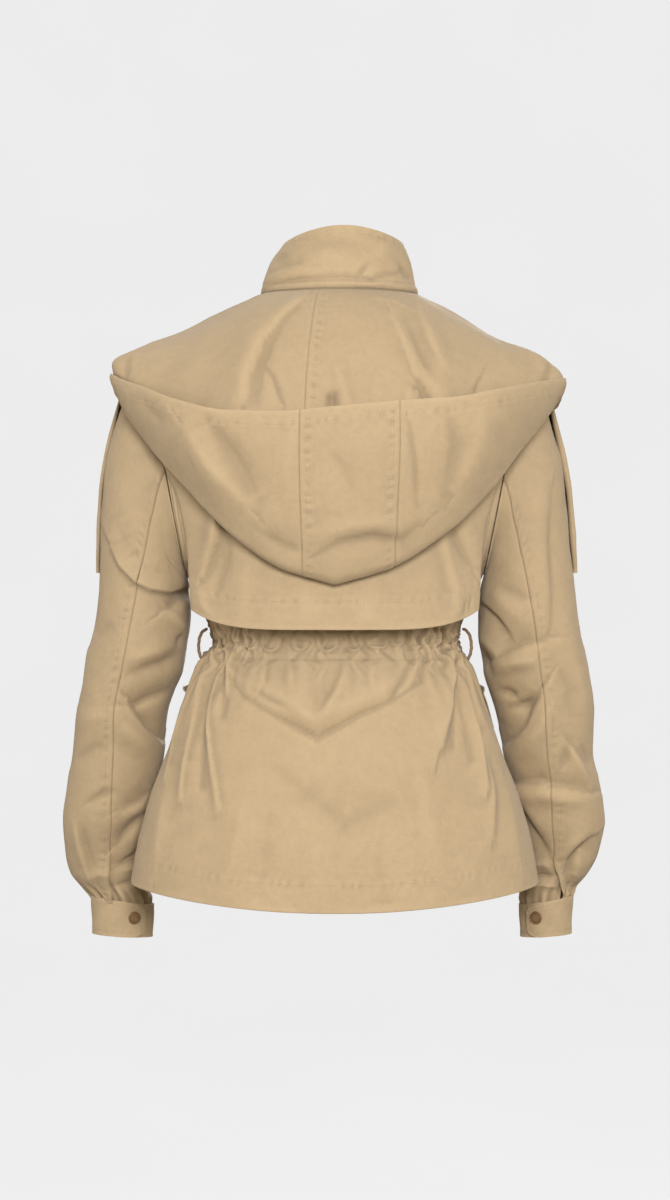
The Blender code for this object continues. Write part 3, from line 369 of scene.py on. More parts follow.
CAPE_CREASES = placed(
    (7, 7.8, 0.45, 110, -205, 113, -225, 117, -247, 129, -279),
    (11, -5.1, 0, 103, -236, 107, -265, 116, -302),
    (12, 2.7, 0, 82, -262, 88, -300, 92, -332),
    (9, -6.8, 0.3, -112, -222, -121, -247, -134, -272),
    (10, 5.1, -0.3, -100, -225, -108, -262, -116, -295, -118, -325),
    (2.2, -2.3, 0, -125.5, -304, -124.5, -327),
    (2.2, -2.1, 0, -131.5, -300, -130, -322),
    (14, 2.1, 0, 30, -286, 27, -312, 29, -332),
    (14, 2.2, 0, -38, -284, -31, -313, -34, -331),
    (7, 3, 0.3, 134, -290, 126, -311, 118, -325),
    (16, -2.1, 0, 60, -255, 20, -268, -30, -262))
FRONT_CAPE_CREASES = placed(
    (12, 2.4, 0.3, 190, -120, 196, -180, 198, -262),
    (15, 3, -0.3, 140, -130, 146, -190, 150, -268),
    (15, -2.4, 0, 96, -150, 100, -210, 98, -266),
    (8, -1.6, 0, 220, -150, 226, -200, 227, -250),
    (13, 2.8, -0.3, -180, -125, -190, -185, -192, -262),
    (15, 2.4, 0.3, -132, -128, -136, -190, -134, -266),
    (15, -2.2, 0, -90, -150, -86, -210, -90, -266),
    (8, 1.6, 0, -215, -150, -222, -205, -226, -255))
SLEEVE_BACK_LEFT = placed(
    (12, 8.1, -0.8, 220, -250, 210, -269, 195, -285, 182, -292, 163, -295, 146, -290, 138, -278),
    (12, -3.1, 0, 214, -225, 204, -249, 186, -270, 163, -278),
    (9, -9.4, -0.6, 165, -312, 153, -303, 143, -296, 135, -286),
    (5, 3.7, 0, 163, -315, 155, -325, 149, -335),
    (4, -5.6, 0, 155, -351, 151, -337),
    (9, -5.6, 0.2, 205, -377, 187, -370, 171, -366, 153, -355),
    (11, 4.5, 0, 204, -363, 182, -356, 161, -348),
    (9, -6.9, -0.5, 206, -408, 191, -408, 175, -400, 162, -391),
    (9, -10, -0.8, 202, -408, 195, -417, 182, -433, 170, -445),
    (10, 5, 0, 212, -424, 198, -439, 186, -453),
    (6, -3.2, 0.3, 248, -505, 231, -496, 220, -494),
    (8, -5.2, -0.3, 214, -513, 195, -504, 184, -491),
    (4, 4, 0.3, 261, -526, 257, -550, 251, -573, 246, -586),
    (7, -3, 0, 253, -530, 248, -556, 240, -576),
    (8, -7.5, -0.4, 218, -549, 201, -531, 187, -515),
    (9, 4.2, 0, 212, -526, 198, -513, 186, -497),
    (5, -6.3, 0.2, 216, -570, 201, -563, 194, -553),
    (5, 4, 0, 214, -576, 202, -572, 190, -572),
    (4, -6.3, 0, 222, -592, 204, -587, 193, -582, 182, -587),
    (6, 3.2, 0, 248, -584, 238, -578, 226, -580),
    (10, -3, 0.2, 261, -461, 240, -449, 222, -446),
    (12, 3, 0, 257, -424, 240, -418, 224, -418),
    (12, -2.5, 0, 236, -343, 228, -331, 216, -325))
SLEEVE_BACK_RIGHT = placed(
    (10, -4.5, 0.4, 216, -191, 214, -244, 216, -298, 214, -331, 207, -345),
    (10, -6.9, 0.6, 161, -360, 173, -351, 187, -346, 208, -343),
    (8, 5, 0.2, 161, -371, 177, -365, 198, -363),
    (7, -7.5, -0.6, 141, -305, 158, -322, 170, -338),
    (12, 4, 0, 153, -294, 169, -309, 182, -323),
    (6, -6.3, 0, 139, -348, 147, -363, 155, -376),
    (7, 3.7, 0, 145, -339, 157, -353, 163, -363),
    (9, -3, 0, 163, -289, 182, -299, 196, -302),
    (10, -10.6, -0.8, 203, -396, 193, -412, 187, -428, 177, -441, 167, -449),
    (11, 5, 0, 214, -406, 204, -426, 192, -446, 180, -457),
    (4.5, -6.3, 0, 164, -393, 175, -400, 180, -407),
    (4.5, -6.3, 0, 174, -410, 183, -411, 193, -405),
    (5, 4.2, 0, 171, -402, 182, -404),
    (9, -8.1, 0.7, 172, -488, 187, -487, 204, -486, 214, -489, 229, -490, 244, -493, 258, -496),
    (8, 4.2, 0, 175, -499, 207, -498, 247, -504),
    (8, -5, 0, 224, -473, 231, -458, 233, -444),
    (6, 5.6, -0.4, 233, -449, 245, -469, 255, -486),
    (7, -3.7, 0, 246, -444, 253, -459, 257, -471),
    (7, -5.7, -0.5, 170, -491, 187, -517, 199, -536, 214, -557),
    (9, 3.7, 0, 186, -501, 202, -522, 214, -538),
    (8, -10.6, 0.5, 258, -543, 244, -555, 236, -566, 233, -579, 235, -590),
    (9, 4.5, 0, 249, -536, 234, -550, 224, -566),
    (5, 4.5, 0, 248, -560, 244, -574, 242, -586),
    (3.8, -6.3, 0, 195, -582, 207, -581, 220, -582),
    (5, 3.7, 0, 196, -572, 210, -568, 218, -574),
    (3.6, 3.7, 0, 198, -592, 210, -590, 224, -592),
    (12, -3, 0, 218, -363, 232, -392, 234, -422),
    (9, 3.2, 0, 236, -363, 246, -392, 248, -418))
SLEEVE_FRONT = placed(
    (10, 5.2, 0.5, 250, -350, 215, -372, 170, -372),
    (9, -6, -0.3, 252, -392, 220, -402, 175, -396),
    (10, 5.7, 0.4, 252, -412, 222, -424, 182, -430),
    (12, -3.9, 0, 240, -240, 210, -270, 170, -290),
    (12, 3.6, 0, 236, -212, 205, -240, 165, -262),
    (9, 3.9, 0.3, 262, -480, 238, -500, 205, -506),
    (8, -4.9, 0, 264, -536, 242, -552, 212, -556),
    (7, 3.4, 0, 256, -566, 238, -578, 212, -582))
HOOD_OUTER_CREASES = placed(
    (13, 7.8, 0.3, 143, -140, 116, -178, 84, -214),
    (14, -8.2, 0, 120, -136, 98, -168, 74, -205),
    (9, -4.1, 0.4, 12, -256, -9, -247, -35, -243, -64, -246, -80, -233),
    (11, 3.1, 0, 10, -240, -12, -233, -40, -230, -66, -232),
    (8, -2.8, 0, 186, -110, 176, -124, 160, -138),
    (15, -4.7, 0, -108, -128, -116, -160, -104, -210),
    (13, 4.1, -0.3, -142, -118, -136, -158, -118, -196),
    (12, -1.9, 0, 6, -160, -10, -178, -18, -203),
    (8, -2.8, 0, 72, -238, 47, -252, 30, -258),
    (6, -2.5, 0.3, -70, -136, -76, -170, -78, -215),
    (10, 2.2, 0, 40, -140, 46, -180, 40, -226))
HOOD_INNER_CREASES = placed(
    (8.5, 5.2, 0.45, 30, -8, 50, -25, 72, -51, 86, -85, 90, -111),
    (9, -4.8, 0, 52, -34, 62, -52, 72, -80, 76, -110),
    (3.6, -4.6, 0.4, 64, -80, 57, -92, 49, -116),
    (7.5, -10.5, 0, 6, -126, 2.5, -110, -2, -124),
    (6, 3.4, 0, -4, -86, -10, -120),
    (7, -10, 0, -78, -99, -83, -96, -90, -108, -92, -124),
    (5, 2.6, 0, -72, -96, -73, -120),
    (8.5, 4.4, -0.45, -56, -28, -66, -50, -78, -83, -94, -106),
    (8.5, -3.2, 0, -68, -36, -80, -62, -94, -90),
    (7, 3.7, -0.3, -82, -20, -92, -48, -106, -78),
    (4, -4.8, -0.4, -142, -84, -132, -112),
    (4, 1.8, 0, -36, -8, -59, -14, -80, -24),
    (4.5, 1.8, 0, 50, -22, 30, -10),
    (4.5, -2.3, 0, -212, -70, -204, -98),
    (5, 1.8, 0, -194, -60, -206, -79),
    (5, -2.5, 0, 203, -66, 207, -90),
    (12, 2.5, 0, 105, -26, 128, -53, 143, -96),
    (12, 2.3, 0, -130, -30, -162, -63, -177, -94),
    (16, -6.7, 0, -136, -18, -165, -30, -192, -42),
    (16, -4.6, 0, 125, -18, 155, -30, 185, -44))
COLLAR_CREASES = placed(
    (4.2, -3, 0.4, 78, 4, 60, 9, 34, 13, 4, 16, -18, 15),
    (5, 2.4, 0, 74, 12, 52, 18, 26, 22),
    (3.6, -3, -0.3, -12, 16, -36, 13, -62, 20),
    (4, 1.8, 0, -10, 8, -34, 6, -56, 10),
    (2.6, -2.4, 0.3, -22, 17, -31, 27),
    (10, 2.1, 0, 34, 31, 5, 36, -20, 31),
    (4.5, -4.5, 0, -66, 30, -75, 14),
    (10, -1.8, 0, 60, 30, 50, 48),
    (9, 2.1, 0, -40, 34, -52, 50))
COLLAR_FRONT_CREASES = placed(
    (5, -2, 0.3, 74, -14, 50, -18, 26, -26),
    (5, -2.2, -0.3, -78, -12, -52, -20, -28, -24),
    (7, 1.6, 0, 60, 6, 40, -4),
    (7, 1.8, 0, -64, 10, -44, -2))
# The small loops of loose cloth that bunch above the tunnel's lower stitching, between the gathers.
Loop = namedtuple("Loop", "x z half_width rise height")
WAIST_LOOPS = in_mm(Loop, 5,
    (82, -353, 6, 8.5, 5),
    (62, -354.5, 8.5, 10.5, 5.4),
    (34, -353, 7, 9, 4.6),
    (7, -355, 9, 11, 5.4),
    (-18, -354, 8, 9.5, 4.8),
    (-41, -351.5, 10.5, 8, 5),
    (-60, -348.5, 6, 7, 4.2),
    (-79, -351.5, 6.5, 8, 4.8))

# ---------------- what a user would change
CLOTH_RGB = (0.365, 0.275, 0.166)
THREAD_RGB = (0.450, 0.350, 0.225)
CORD_RGB = (0.290, 0.190, 0.106)
SNAP_RGB = (0.135, 0.079, 0.036)


def length_property(name, text, value):
    """A length in metres that a user may change."""
    return FloatProperty(name=name, description=text, default=value, min=0.0, subtype="DISTANCE",
                         unit="LENGTH", precision=5)


def colour_property(name, text, value):
    """A colour that a user may change."""
    return FloatVectorProperty(name=name, description=text, default=value, min=0.0, max=1.0, size=3,
                               subtype="COLOR")


class JacketCloth(bpy.types.PropertyGroup):
    """The jacket's cloth, thread, cord and snaps."""
    cloth: colour_property("Cloth", "Colour of the cotton cloth", CLOTH_RGB)
    thread: colour_property("Thread", "Colour of the topstitching", THREAD_RGB)
    cord: colour_property("Drawcord", "Colour of the drawcord", CORD_RGB)
    snap: colour_property("Snaps", "Colour of the snap caps", SNAP_RGB)
    wall: length_property("Cloth wall", "Thickness of one layer of cloth", 0.0009)
    hem_roll: length_property("Hem roll", "Radius of the fold at a turned hem", 0.0010)
    weave: length_property("Weave", "Spacing of the cloth's threads", 0.0008)
    stitch: length_property("Stitch", "Length of one stitch", 0.0026)
    stitch_gap: length_property("Stitch gap", "Cloth between two stitches", 0.0009)
    stitch_width: length_property("Stitch width", "Width of one stitch", 0.00055)
    crumple: length_property("Crumple", "Height of the cloth's fine unevenness", 0.0008)


class JacketStudio(bpy.types.PropertyGroup):
    """The studio round the jacket."""
    distance: length_property("Camera distance", "Camera to the neck's axis", 3.6)
    lens: FloatProperty(name="Lens", description="Focal length in millimetres", default=108.0, min=1.0,
                        subtype="DISTANCE_CAMERA")
    drop: length_property("Camera drop", "How far the camera is below the collar seam", 0.3035)
    floor_drop: length_property("Floor drop", "How far the floor is below the collar seam", 1.42)
    paper: colour_property("Paper", "Colour of the floor and backdrop", (0.84, 0.84, 0.84))


# ---------------- numbers and curves
def ease(t):
    """0 to 1 with level ends: 3t^2 - 2t^3."""
    t = np.clip(t, 0.0, 1.0)
    return t * t * (3.0 - 2.0 * t)


def through(values, v):
    """A smooth curve through values at 0, 1, 2..., cubic between them and with no overshoot."""
    y = np.asarray(values, float)
    step = np.diff(y)
    slope = np.zeros(len(y))
    slope[0], slope[-1] = step[0], step[-1]
    same = step[:-1] * step[1:] > 0
    both = np.where(same, step[:-1] + step[1:], 1.0)
    slope[1:-1] = np.where(same, 2.0 * step[:-1] * step[1:] / both, 0.0)
    v = np.asarray(v, float)
    i = np.clip(np.floor(v).astype(int), 0, len(y) - 2)
    f = v - i
    a, b, c = y[i], y[i + 1], f * f * (3.0 - 2.0 * f)
    return a + (b - a) * c + slope[i] * f * (1 - f) ** 2 - slope[i + 1] * f * f * (1 - f)


def columns(table, v):
    """A table's columns at rows v, each the smooth curve through its values."""
    return type(table[0])(*(through(values, v) for values in zip(*table)))


def stack(x, y, z):
    """Points from their coordinates."""
    return np.stack(np.broadcast_arrays(x, y, z), axis=-1)


def unit(vectors):
    """Vectors divided by their lengths."""
    return vectors / (np.linalg.norm(vectors, axis=-1, keepdims=True) + 1e-12)


def bezier(a, b, c, d, t):
    """The cubic Bezier curve from a to d with handles b and c."""
    t = np.asarray(t)[..., None]
    return a * (1 - t) ** 3 + 3 * b * t * (1 - t) ** 2 + 3 * c * t * t * (1 - t) + d * t ** 3


NARROW_CREASE = 0.0042


def folds(x, z, creases):
    """Sum of the creases: each is a bell curve across its path, exp(-(distance / width)^1.6), or a crisper
    ridge of power 1.15 where it is narrow, wider on one side by its lean, and fades as a half sine towards
    its ends."""
    total = np.zeros(np.shape(x))
    for crease in creases:
        path = crease.path
        steps = np.linalg.norm(np.diff(path, axis=0), axis=1)
        run = np.concatenate([[0.0], np.cumsum(steps)])
        near = np.full(np.shape(x), 1e9)
        where = np.zeros(np.shape(x))
        hand = np.zeros(np.shape(x))
        for a, b, start, length in zip(path[:-1], path[1:], run, steps):
            t = ((x - a[0]) * (b[0] - a[0]) + (z - a[1]) * (b[1] - a[1])) / length ** 2
            t = np.clip(t, 0.0, 1.0)
            dx, dz = x - a[0] - t * (b[0] - a[0]), z - a[1] - t * (b[1] - a[1])
            far = np.hypot(dx, dz)
            closer = far < near
            near = np.where(closer, far, near)
            where = np.where(closer, (start + t * length) / run[-1], where)
            hand = np.where(closer, np.sign((b[0] - a[0]) * dz - (b[1] - a[1]) * dx), hand)
        fade = 0.35 + 0.65 * np.sin(np.pi * where)
        width = crease.width * (1.0 + crease.lean * hand)
        power = 1.15 if crease.width < NARROW_CREASE else 1.6
        total = total + crease.height * fade * np.exp(-(near / width) ** power)
    return total


def loop_creases(loops):
    """Each loop as a crease: a half circle that opens upwards, squeezed to its width and rise."""
    turn = np.linspace(np.pi, 2 * np.pi, 7)
    return [Crease(np.stack([k.x + k.half_width * np.cos(turn), k.z + k.rise * (1 + np.sin(turn))], axis=-1),
                   0.0026, k.height, 0.5) for k in loops]


def crumple(points, size, seed):
    """Smooth noise, -1 to 1: a random value at each corner of a cubic lattice, blended by an ease."""
    spread = points / size + 50.0
    base = np.floor(spread)
    share = ease(spread - base)
    total = np.zeros(points.shape[:-1])
    for corner in product((0, 1), repeat=3):
        value = np.sin((base + corner) @ np.array([12.9898, 78.233, 37.719]) + seed) * 43758.5453
        weight = np.prod(np.where(corner, share, 1.0 - share), axis=-1)
        total += weight * (2.0 * (value - np.floor(value)) - 1.0)
    return total


def spans(*parts):
    """Parameters from runs of (start, end, count), each run left open where the next begins."""
    runs = [np.linspace(a, b, n, endpoint=False) for a, b, n in parts]
    return np.append(np.concatenate(runs), parts[-1][1])


# ---------------- the body's and the capes' surfaces
def neck_ring(angle, out, lift):
    """The collar seam, an ellipse that dips towards the front. angle is 0 at the centre back, 90 on the left
    and 180 at the centre front."""
    a = np.radians(angle)
    x = NECK_X * (1.0 - ease((np.abs(angle) - 90.0) / 90.0)) + (NECK_HALF_WIDTH + out) * np.sin(a)
    y = NECK_Y + (NECK_HALF_DEPTH + out) * np.cos(a)
    z = NECK_BACK_Z + lift - NECK_DROP * ease((np.abs(angle) - 75.0) / 105.0)
    return stack(x, y, z)


def shoulder_line(q, side, facing, out, neck_lift, tip_lift):
    """The top edge of a body layer: round the neck, then straight along the shoulder to its tip."""
    turn = 90.0 * np.clip(q / NECK_SHARE, 0.0, 1.0)
    angle = np.where(facing > 0, turn, 180.0 - turn)
    ring = neck_ring(side * angle, out, neck_lift)
    tip = stack(side * (SHOULDER_TIP[0] - SEAM + out), SHOULDER_TIP[1] + 0.0 * q, SHOULDER_TIP[2] + tip_lift)
    f = np.clip((q - NECK_SHARE) / (1.0 - NECK_SHARE), 0.0, 1.0)[..., None]
    line = ring * (1 - f) + tip * f
    line[..., 1] += facing * 0.5 * SEAM
    return line


def section(q, side, x_edge, y_edge, y_mid, z_edge, z_mid, turn, power, z_power=2.0):
    """One row of a layer, q 0 on the centre line and 1 at the edge: x goes as the sine of q, and the depth as
    a superellipse of that power, mixed with a flatter curve where turn is below 1."""
    across = np.sin(q * np.pi / 2)
    rounded = np.maximum(1 - across ** power, 0.0) ** (1 / power)
    depth = turn * rounded + (1 - turn) * (1 - across ** power)
    z = z_edge + (z_mid - z_edge) * (1 - across ** z_power)
    return stack(side * x_edge * across, y_edge + (y_mid - y_edge) * depth, z)


def yoke(base, top, t, swing=0.0):
    """A quarter ellipse from a section, where it stands upright, to the shoulder line, where it is level."""
    rise = np.sin(t * np.pi / 2)[..., None]
    fall = np.cos(t * np.pi / 2)[..., None]
    point = base + (top - base) * rise
    point[..., 1] = (top + (base - top) * fall)[..., 1]
    mix = rise * (1 - swing) + (1 - fall) * swing
    point[..., 0] = (base + (top - base) * mix)[..., 0]
    return point


def armhole(angle):
    """The armhole's edge, a tilted ellipse: 180 at the underarm and 90 half way up."""
    a = np.radians(angle)
    return (ARM_CENTRE[0] + ARM_TILT_X * np.cos(a) - SEAM, ARM_HALF_DEPTH * np.sin(a),
            ARM_CENTRE[1] + ARM_HALF_HEIGHT * np.cos(a))


def body_columns(facing):
    """The columns of the body's sections, hem to yoke, with the armhole's edge worked out."""
    back = facing > 0
    rows = []
    for r in BODY:
        rows.append((r.x_side, r.y_side, r.y_back if back else r.y_front, r.z_side,
                     r.z_back if back else r.z_front, 1.0, r.gather))
    for r in CHEST:
        x, open_y, z = armhole(r.arm)
        rows.append((x, facing * open_y, r.y_back if back else r.y_front, z,
                     r.z_back if back else r.z_front, r.turn, 0.0))
    return np.array(rows).T


def gather_phase(q, count):
    """Which gather a point lies in: unevenly spaced, tighter towards the side."""
    warp = 0.35 * np.sin(5.0 * q + 0.6) + 0.22 * np.sin(13.0 * q)
    return count * (0.82 * q + 0.18 * q ** 3) + warp - 0.35 * np.sin(0.6)


def gather_wave(q, count, flat):
    """The gathers' height, -1 to 1. flat is the share of the panel at the centre line that has none."""
    phase = gather_phase(q, count)
    size = 0.85 + 0.3 * np.sin(1.7 * phase + 2.0) * np.sin(0.6 * phase)
    return size * np.sin(2 * np.pi * phase) * ease((q - flat) / 0.05)


def body(s, v, out=0.0):
    """Outer face of the body. s is 0 at the centre back, +-1 at the sides and +-2 at the centre front; v
    counts the rows up from the hem, with the yoke as the last one. out moves it away from the wearer."""
    s, v, out = np.broadcast_arrays(np.asarray(s, float), np.asarray(v, float), np.asarray(out, float))
    side = np.where(s < 0, -1.0, 1.0)
    result = np.zeros(s.shape + (3,))
    for facing in (1.0, -1.0):
        here = (np.abs(s) <= 1.0) if facing > 0 else (np.abs(s) > 1.0)
        if not here.any():
            continue
        q = np.abs(s[here]) if facing > 0 else np.clip(2.0 - np.abs(s[here]), 0.0, 1.0)
        off = out[here]
        row = np.minimum(v[here], BODY_ROWS)
        x, y_edge, y_mid, z_edge, z_mid, turn, gather = [through(c, row) for c in body_columns(facing)]
        count, flat = (BACK_GATHERS / 2, BACK_UNGATHERED) if facing > 0 else (FRONT_GATHERS, FRONT_UNGATHERED)
        swell = off + GATHER_DEPTH * gather * gather_wave(q, count, flat)
        base = section(q, side[here], x + swell, y_edge + facing * 0.5 * SEAM, y_mid + facing * swell,
                       z_edge, z_mid, turn, BODY_POWER)
        top = shoulder_line(q, side[here], facing, off, off - BODY_NECK_TUCK, off)
        result[here] = yoke(base, top, np.clip(v[here] - BODY_ROWS, 0.0, 1.0))
    return result


def back_cape(s, v):
    """Back cape, s -1 to 1 across, v from the free edge (0) up, with the yoke as the last row."""
    last = len(BACK_CAPE) - 1
    c = columns(BACK_CAPE, np.minimum(v, last))
    q, side = np.abs(s), np.where(s < 0, -1.0, 1.0)
    base = section(q, side, c.x_edge, c.y_edge, c.y_mid, c.z_edge, c.z_mid, c.turn, CAPE_POWER, 5.0)
    top = shoulder_line(q, side, 1.0, CAPE_OUT, BACK_CAPE_NECK_LIFT, CAPE_TIP_LIFT)
    return yoke(base, top, np.clip(v - last, 0.0, 1.0))


def front_cape(s, v, side):
    """Front shoulder flap, s from its front edge (0) to its free rear edge (1), v as on the back cape."""
    last = len(FRONT_CAPE) - 1
    row = np.minimum(v, last)
    c = columns(FRONT_CAPE, row)
    x_edge = c.x_edge + (FRONT_CAPE_RIGHT_EXTRA * (1.0 - row / last) if side < 0 else 0.0)
    start = 2 / np.pi * np.arcsin(FRONT_CAPE_INNER_X / x_edge)
    q = start + (1 - start) * s
    side = side + 0.0 * q
    base = section(q, side, x_edge, c.y_edge, c.y_mid, c.z_edge, c.z_mid, c.turn, CAPE_POWER)
    top = shoulder_line(q, side, -1.0, CAPE_OUT, FRONT_CAPE_NECK_LIFT, CAPE_TIP_LIFT)
    return yoke(base, top, np.clip(v - last, 0.0, 1.0), swing=0.5)


# ---------------- sleeves, cuffs, collar, hood and pockets
def sleeve(angle, v, table, side):
    """A tilted ellipse for each row: angle 0 outermost, 90 at the back, 180 innermost, 270 at the front."""
    c = columns(table, v)
    a = np.radians(angle)
    share = 0.5 - 0.5 * np.cos(a)
    x = c.x_out + (c.x_in - c.x_out) * share
    z = c.z_out + (c.z_in - c.z_out) * share
    return stack(side * x, c.y_mid + c.y_half * np.sin(a), z)


def panel_angle(piece, seam, u, v):
    """The angle of a sleeve panel's column: u is 0 at its first seam and 1 at its second. Above the cuff the
    back seam ends in a vent, where the under panel runs on below the top panel's free edge."""
    vent = VENT_OPEN * ease((v - VENT_ROW) / 2.0)
    back = through(seam, v)
    front = SLEEVE_FRONT_SEAM + 0.0 * v
    low, high = (front - 360.0, back - 0.5 * vent) if piece == "top" else (back - 1.3 * vent, front)
    return low + (high - low) * u


def cuff(turn, v, table, side):
    """A band that winds once round the wrist and overlaps itself: turn runs along it and v down it."""
    end = table[-1]
    half = 0.5 * (end.x_out - end.x_in)
    x_mid = 0.5 * (end.x_out + end.x_in)
    girth = 2 * np.pi * np.sqrt(0.5 * (half ** 2 + end.y_half ** 2))
    lap = CUFF_OVERLAP / girth
    a = np.radians(CUFF_END_ANGLE) + (turn - 1) * 2 * np.pi * (1 + lap)
    over = CUFF_LAP_OVER * ease((turn - 1 + 2 * lap) / (2 * lap))
    grow = CUFF_STANDS_OUT + over - CUFF_LAP_UNDER * (1 - ease(turn / lap))
    flare = CUFF_FLARE * v
    x = x_mid + (half + grow + flare) * np.cos(a)
    y = end.y_mid + (end.y_half + grow + flare) * np.sin(a)
    tilt = (end.z_out - end.z_in) / (end.x_out - end.x_in)
    z = 0.5 * (end.z_out + end.z_in) + tilt * (x - x_mid) * (1 - 0.6 * v) - 2.5 * SEAM - CUFF_HEIGHT * v
    return stack(side * x, y, z)


def collar(u, v):
    """u runs from -1, the right front end, through 0 at the centre back, to 1; v from the neck seam up."""
    c = columns(COLLAR, v)
    angle = u * (COLLAR_END - COLLAR_SPREAD * ease(v / (len(COLLAR) - 1)) ** 2)
    a = np.radians(angle)
    x = c.x_mid * (1.0 - ease((np.abs(angle) - 90.0) / 90.0)) + c.half_width * np.sin(a)
    y = c.y_mid + c.half_depth * np.cos(a)
    to_side = ease(np.abs(angle) / 90.0)
    to_front = ease((np.abs(angle) - 75.0) / 105.0)
    z = c.z_back + (c.z_side - c.z_back) * to_side + (c.z_front - c.z_side) * to_front
    return stack(x, y, z)


def hood(u, w):
    """u counts the stations from the centre back, positive on the left. w is 0 at the neck seam, 1 at the
    fold's inner side, 2 at its outer side and 3 at the face opening: a Bezier curve that lies on the
    shoulders, a half circle round the fold, and a Bezier curve up the outside."""
    u, w = np.broadcast_arrays(np.asarray(u, float), np.asarray(w, float))
    side = np.where(u < 0, -1.0, 1.0)
    k, more = columns(HOOD, np.abs(u)), columns(HOOD_RIGHT, np.abs(u))
    neck = neck_ring(side * k.neck, HOOD_NECK_OUT, HOOD_FRONT_LIFT * ease((k.neck - 70.0) / 40.0))
    right = u < 0
    fold = stack(side * (k.fold_x + right * more.x), k.fold_y, k.fold_z + right * more.fold_z)
    edge = stack(side * (k.edge_x + right * more.x), k.edge_y, k.edge_z + right * more.edge_z)
    away = fold - neck
    away[..., 2] = 0.0
    reach = np.linalg.norm(away, axis=-1, keepdims=True)
    away = away / reach
    down = stack(0.0 * u, 0.0 * u, fold[..., 2] - neck[..., 2])
    r = k.round[..., None]
    up = np.array([0.0, 0.0, 1.0])
    inner_end = fold + r * (up - away)
    outer_start = fold + r * (up + away)
    first = neck + away * reach * k.out1[..., None] + down * k.drop1[..., None]
    second = neck + away * reach * k.out2[..., None] + down * k.drop2[..., None]
    inner = bezier(neck, first, second, inner_end, np.clip(w, 0.0, 1.0))
    bend = np.clip(w - 1.0, 0.0, 1.0) * np.pi
    turn = fold + up * r - away * r * np.cos(bend)[..., None] - up * r * np.sin(bend)[..., None]
    height = edge[..., 2:] - outer_start[..., 2:]
    belly = away * k.belly[..., None]
    low_handle = outer_start + up * height * 0.35 + belly
    high_handle = edge - up * height * 0.3 + belly
    outer = bezier(outer_start, low_handle, high_handle, edge, np.clip(w - 2.0, 0.0, 1.0))
    w = w[..., None]
    return np.where(w <= 1.0, inner, np.where(w < 2.0, turn, outer))


def worn_hood(u, w):
    """The hood as it is worn: over the shoulders the inner layer sags, by each tip it fills out and up beside
    the fold, and the tip's edge hangs lower. Each is a bell curve, exp(-(distance / width)^2), in u and w.
    The bottom turns in under itself: the fold by a parabola, and the outside above it by another."""
    point = hood(u, w)
    fold = 1.0 - np.clip((w - 1.5) / 0.5, 0.0, 1.0) ** 2
    above = (1.0 - np.clip((w - 2.0) / 0.34, 0.0, 1.0)) ** 2
    middle = 1.0 - ease((np.abs(u) - 2.8) / 2.8)
    turned_in = HOOD_FOLD_TURNS_IN * fold + HOOD_OUTSIDE_TURNS_IN * above
    point[..., 1] -= turned_in * ease((w - 0.85) / 0.2) * middle
    for facing, tip in zip((1.0, -1.0), HOOD_TIPS):
        q = np.where(u * facing > 0.0, np.abs(u), -9.0)
        inner = np.exp(-((q - 6.0) / 1.1) ** 2 - ((w - tip.at) / 0.10) ** 2) * ease((1.0 - w) / 0.08)
        edge = np.exp(-((q - 6.0) / 0.7) ** 2) * ease(w - 2.0)
        sag = np.exp(-((q - 6.2) / 2.2) ** 2 - ((w - 0.45) / 0.20) ** 2)
        point[..., 0] += facing * (tip.out * inner - tip.back * edge)
        point[..., 2] += tip.up * inner - tip.down * edge - tip.sag * sag
    return point


def pocket_point(u, v, side, out):
    """A point over the front, moved out by the front's own ridges: u is 0 at the pocket's front edge and 1 at
    its rear edge."""
    top_share = (v - POCKET_ROWS[0]) / (POCKET_ROWS[1] - POCKET_ROWS[0])
    front_q = POCKET_FRONT_LOW_Q + (POCKET_FRONT_TOP_Q - POCKET_FRONT_LOW_Q) * top_share
    rear_q = POCKET_REAR_LOW_Q + (POCKET_REAR_TOP_Q - POCKET_REAR_LOW_Q) * np.minimum(top_share, 1.0)
    q = front_q + (rear_q - front_q) * u
    base = body(side * (2.0 - q), v, out)
    below = np.maximum(folds(base[..., 0], base[..., 2], FRONT_CREASES), 0.0)
    return base + 0.6 * (unit(base * (1.0, 1.0, 0.0)) * below[..., None])


def pocket_bulge(u, v):
    """How far a pocket stands off the front: nothing at its sewn edges, less again at its mouth."""
    low, high = POCKET_ROWS
    across = np.sqrt(np.clip(np.sin(np.pi * np.clip(u, 0.0, 1.0)), 0.0, 1.0))
    return POCKET_BULGE * across * ease((v - low) / 1.0) * (1.0 - 0.7 * ease((v - high + 1.5) / 1.5))


def pocket(u, v, side):
    """The patch pocket: the front's own points moved out by the cloth below it and its bulge."""
    return pocket_point(u, v, side, CAD_WALL + 1.5 * SEAM + pocket_bulge(u, v))


def pocket_flap(u, v, side):
    """The flap over the pocket, its rear top corner curled outwards."""
    low, high = FLAP_ROWS
    rise = (v - low) / (high - low)
    most = FLAP_CURL_LEFT if side > 0 else FLAP_CURL_RIGHT
    curl = most * ease((u - 0.70) / 0.30) * ease((rise - 0.68) / 0.30)
    across = -0.03 + 1.02 * u
    v = v - 0.20 * ease((u - 0.70) / 0.30) * ease((rise - 0.60) / 0.40)
    return pocket_point(across, v, side, 2 * CAD_WALL + 5 * SEAM + pocket_bulge(across, v) + curl)


def placket(u, v):
    """The strip over the centre front: u -1 to 1 across it, v the body's rows."""
    width = through(body_columns(-1.0)[0], np.minimum(v, BODY_ROWS))
    q = 2 / np.pi * np.arcsin(PLACKET_HALF_WIDTH / width) * np.abs(u)
    side = np.where(u < 0, -1.0, 1.0)
    return body(side * (2.0 - q), v, CAD_WALL + 1.5 * SEAM)


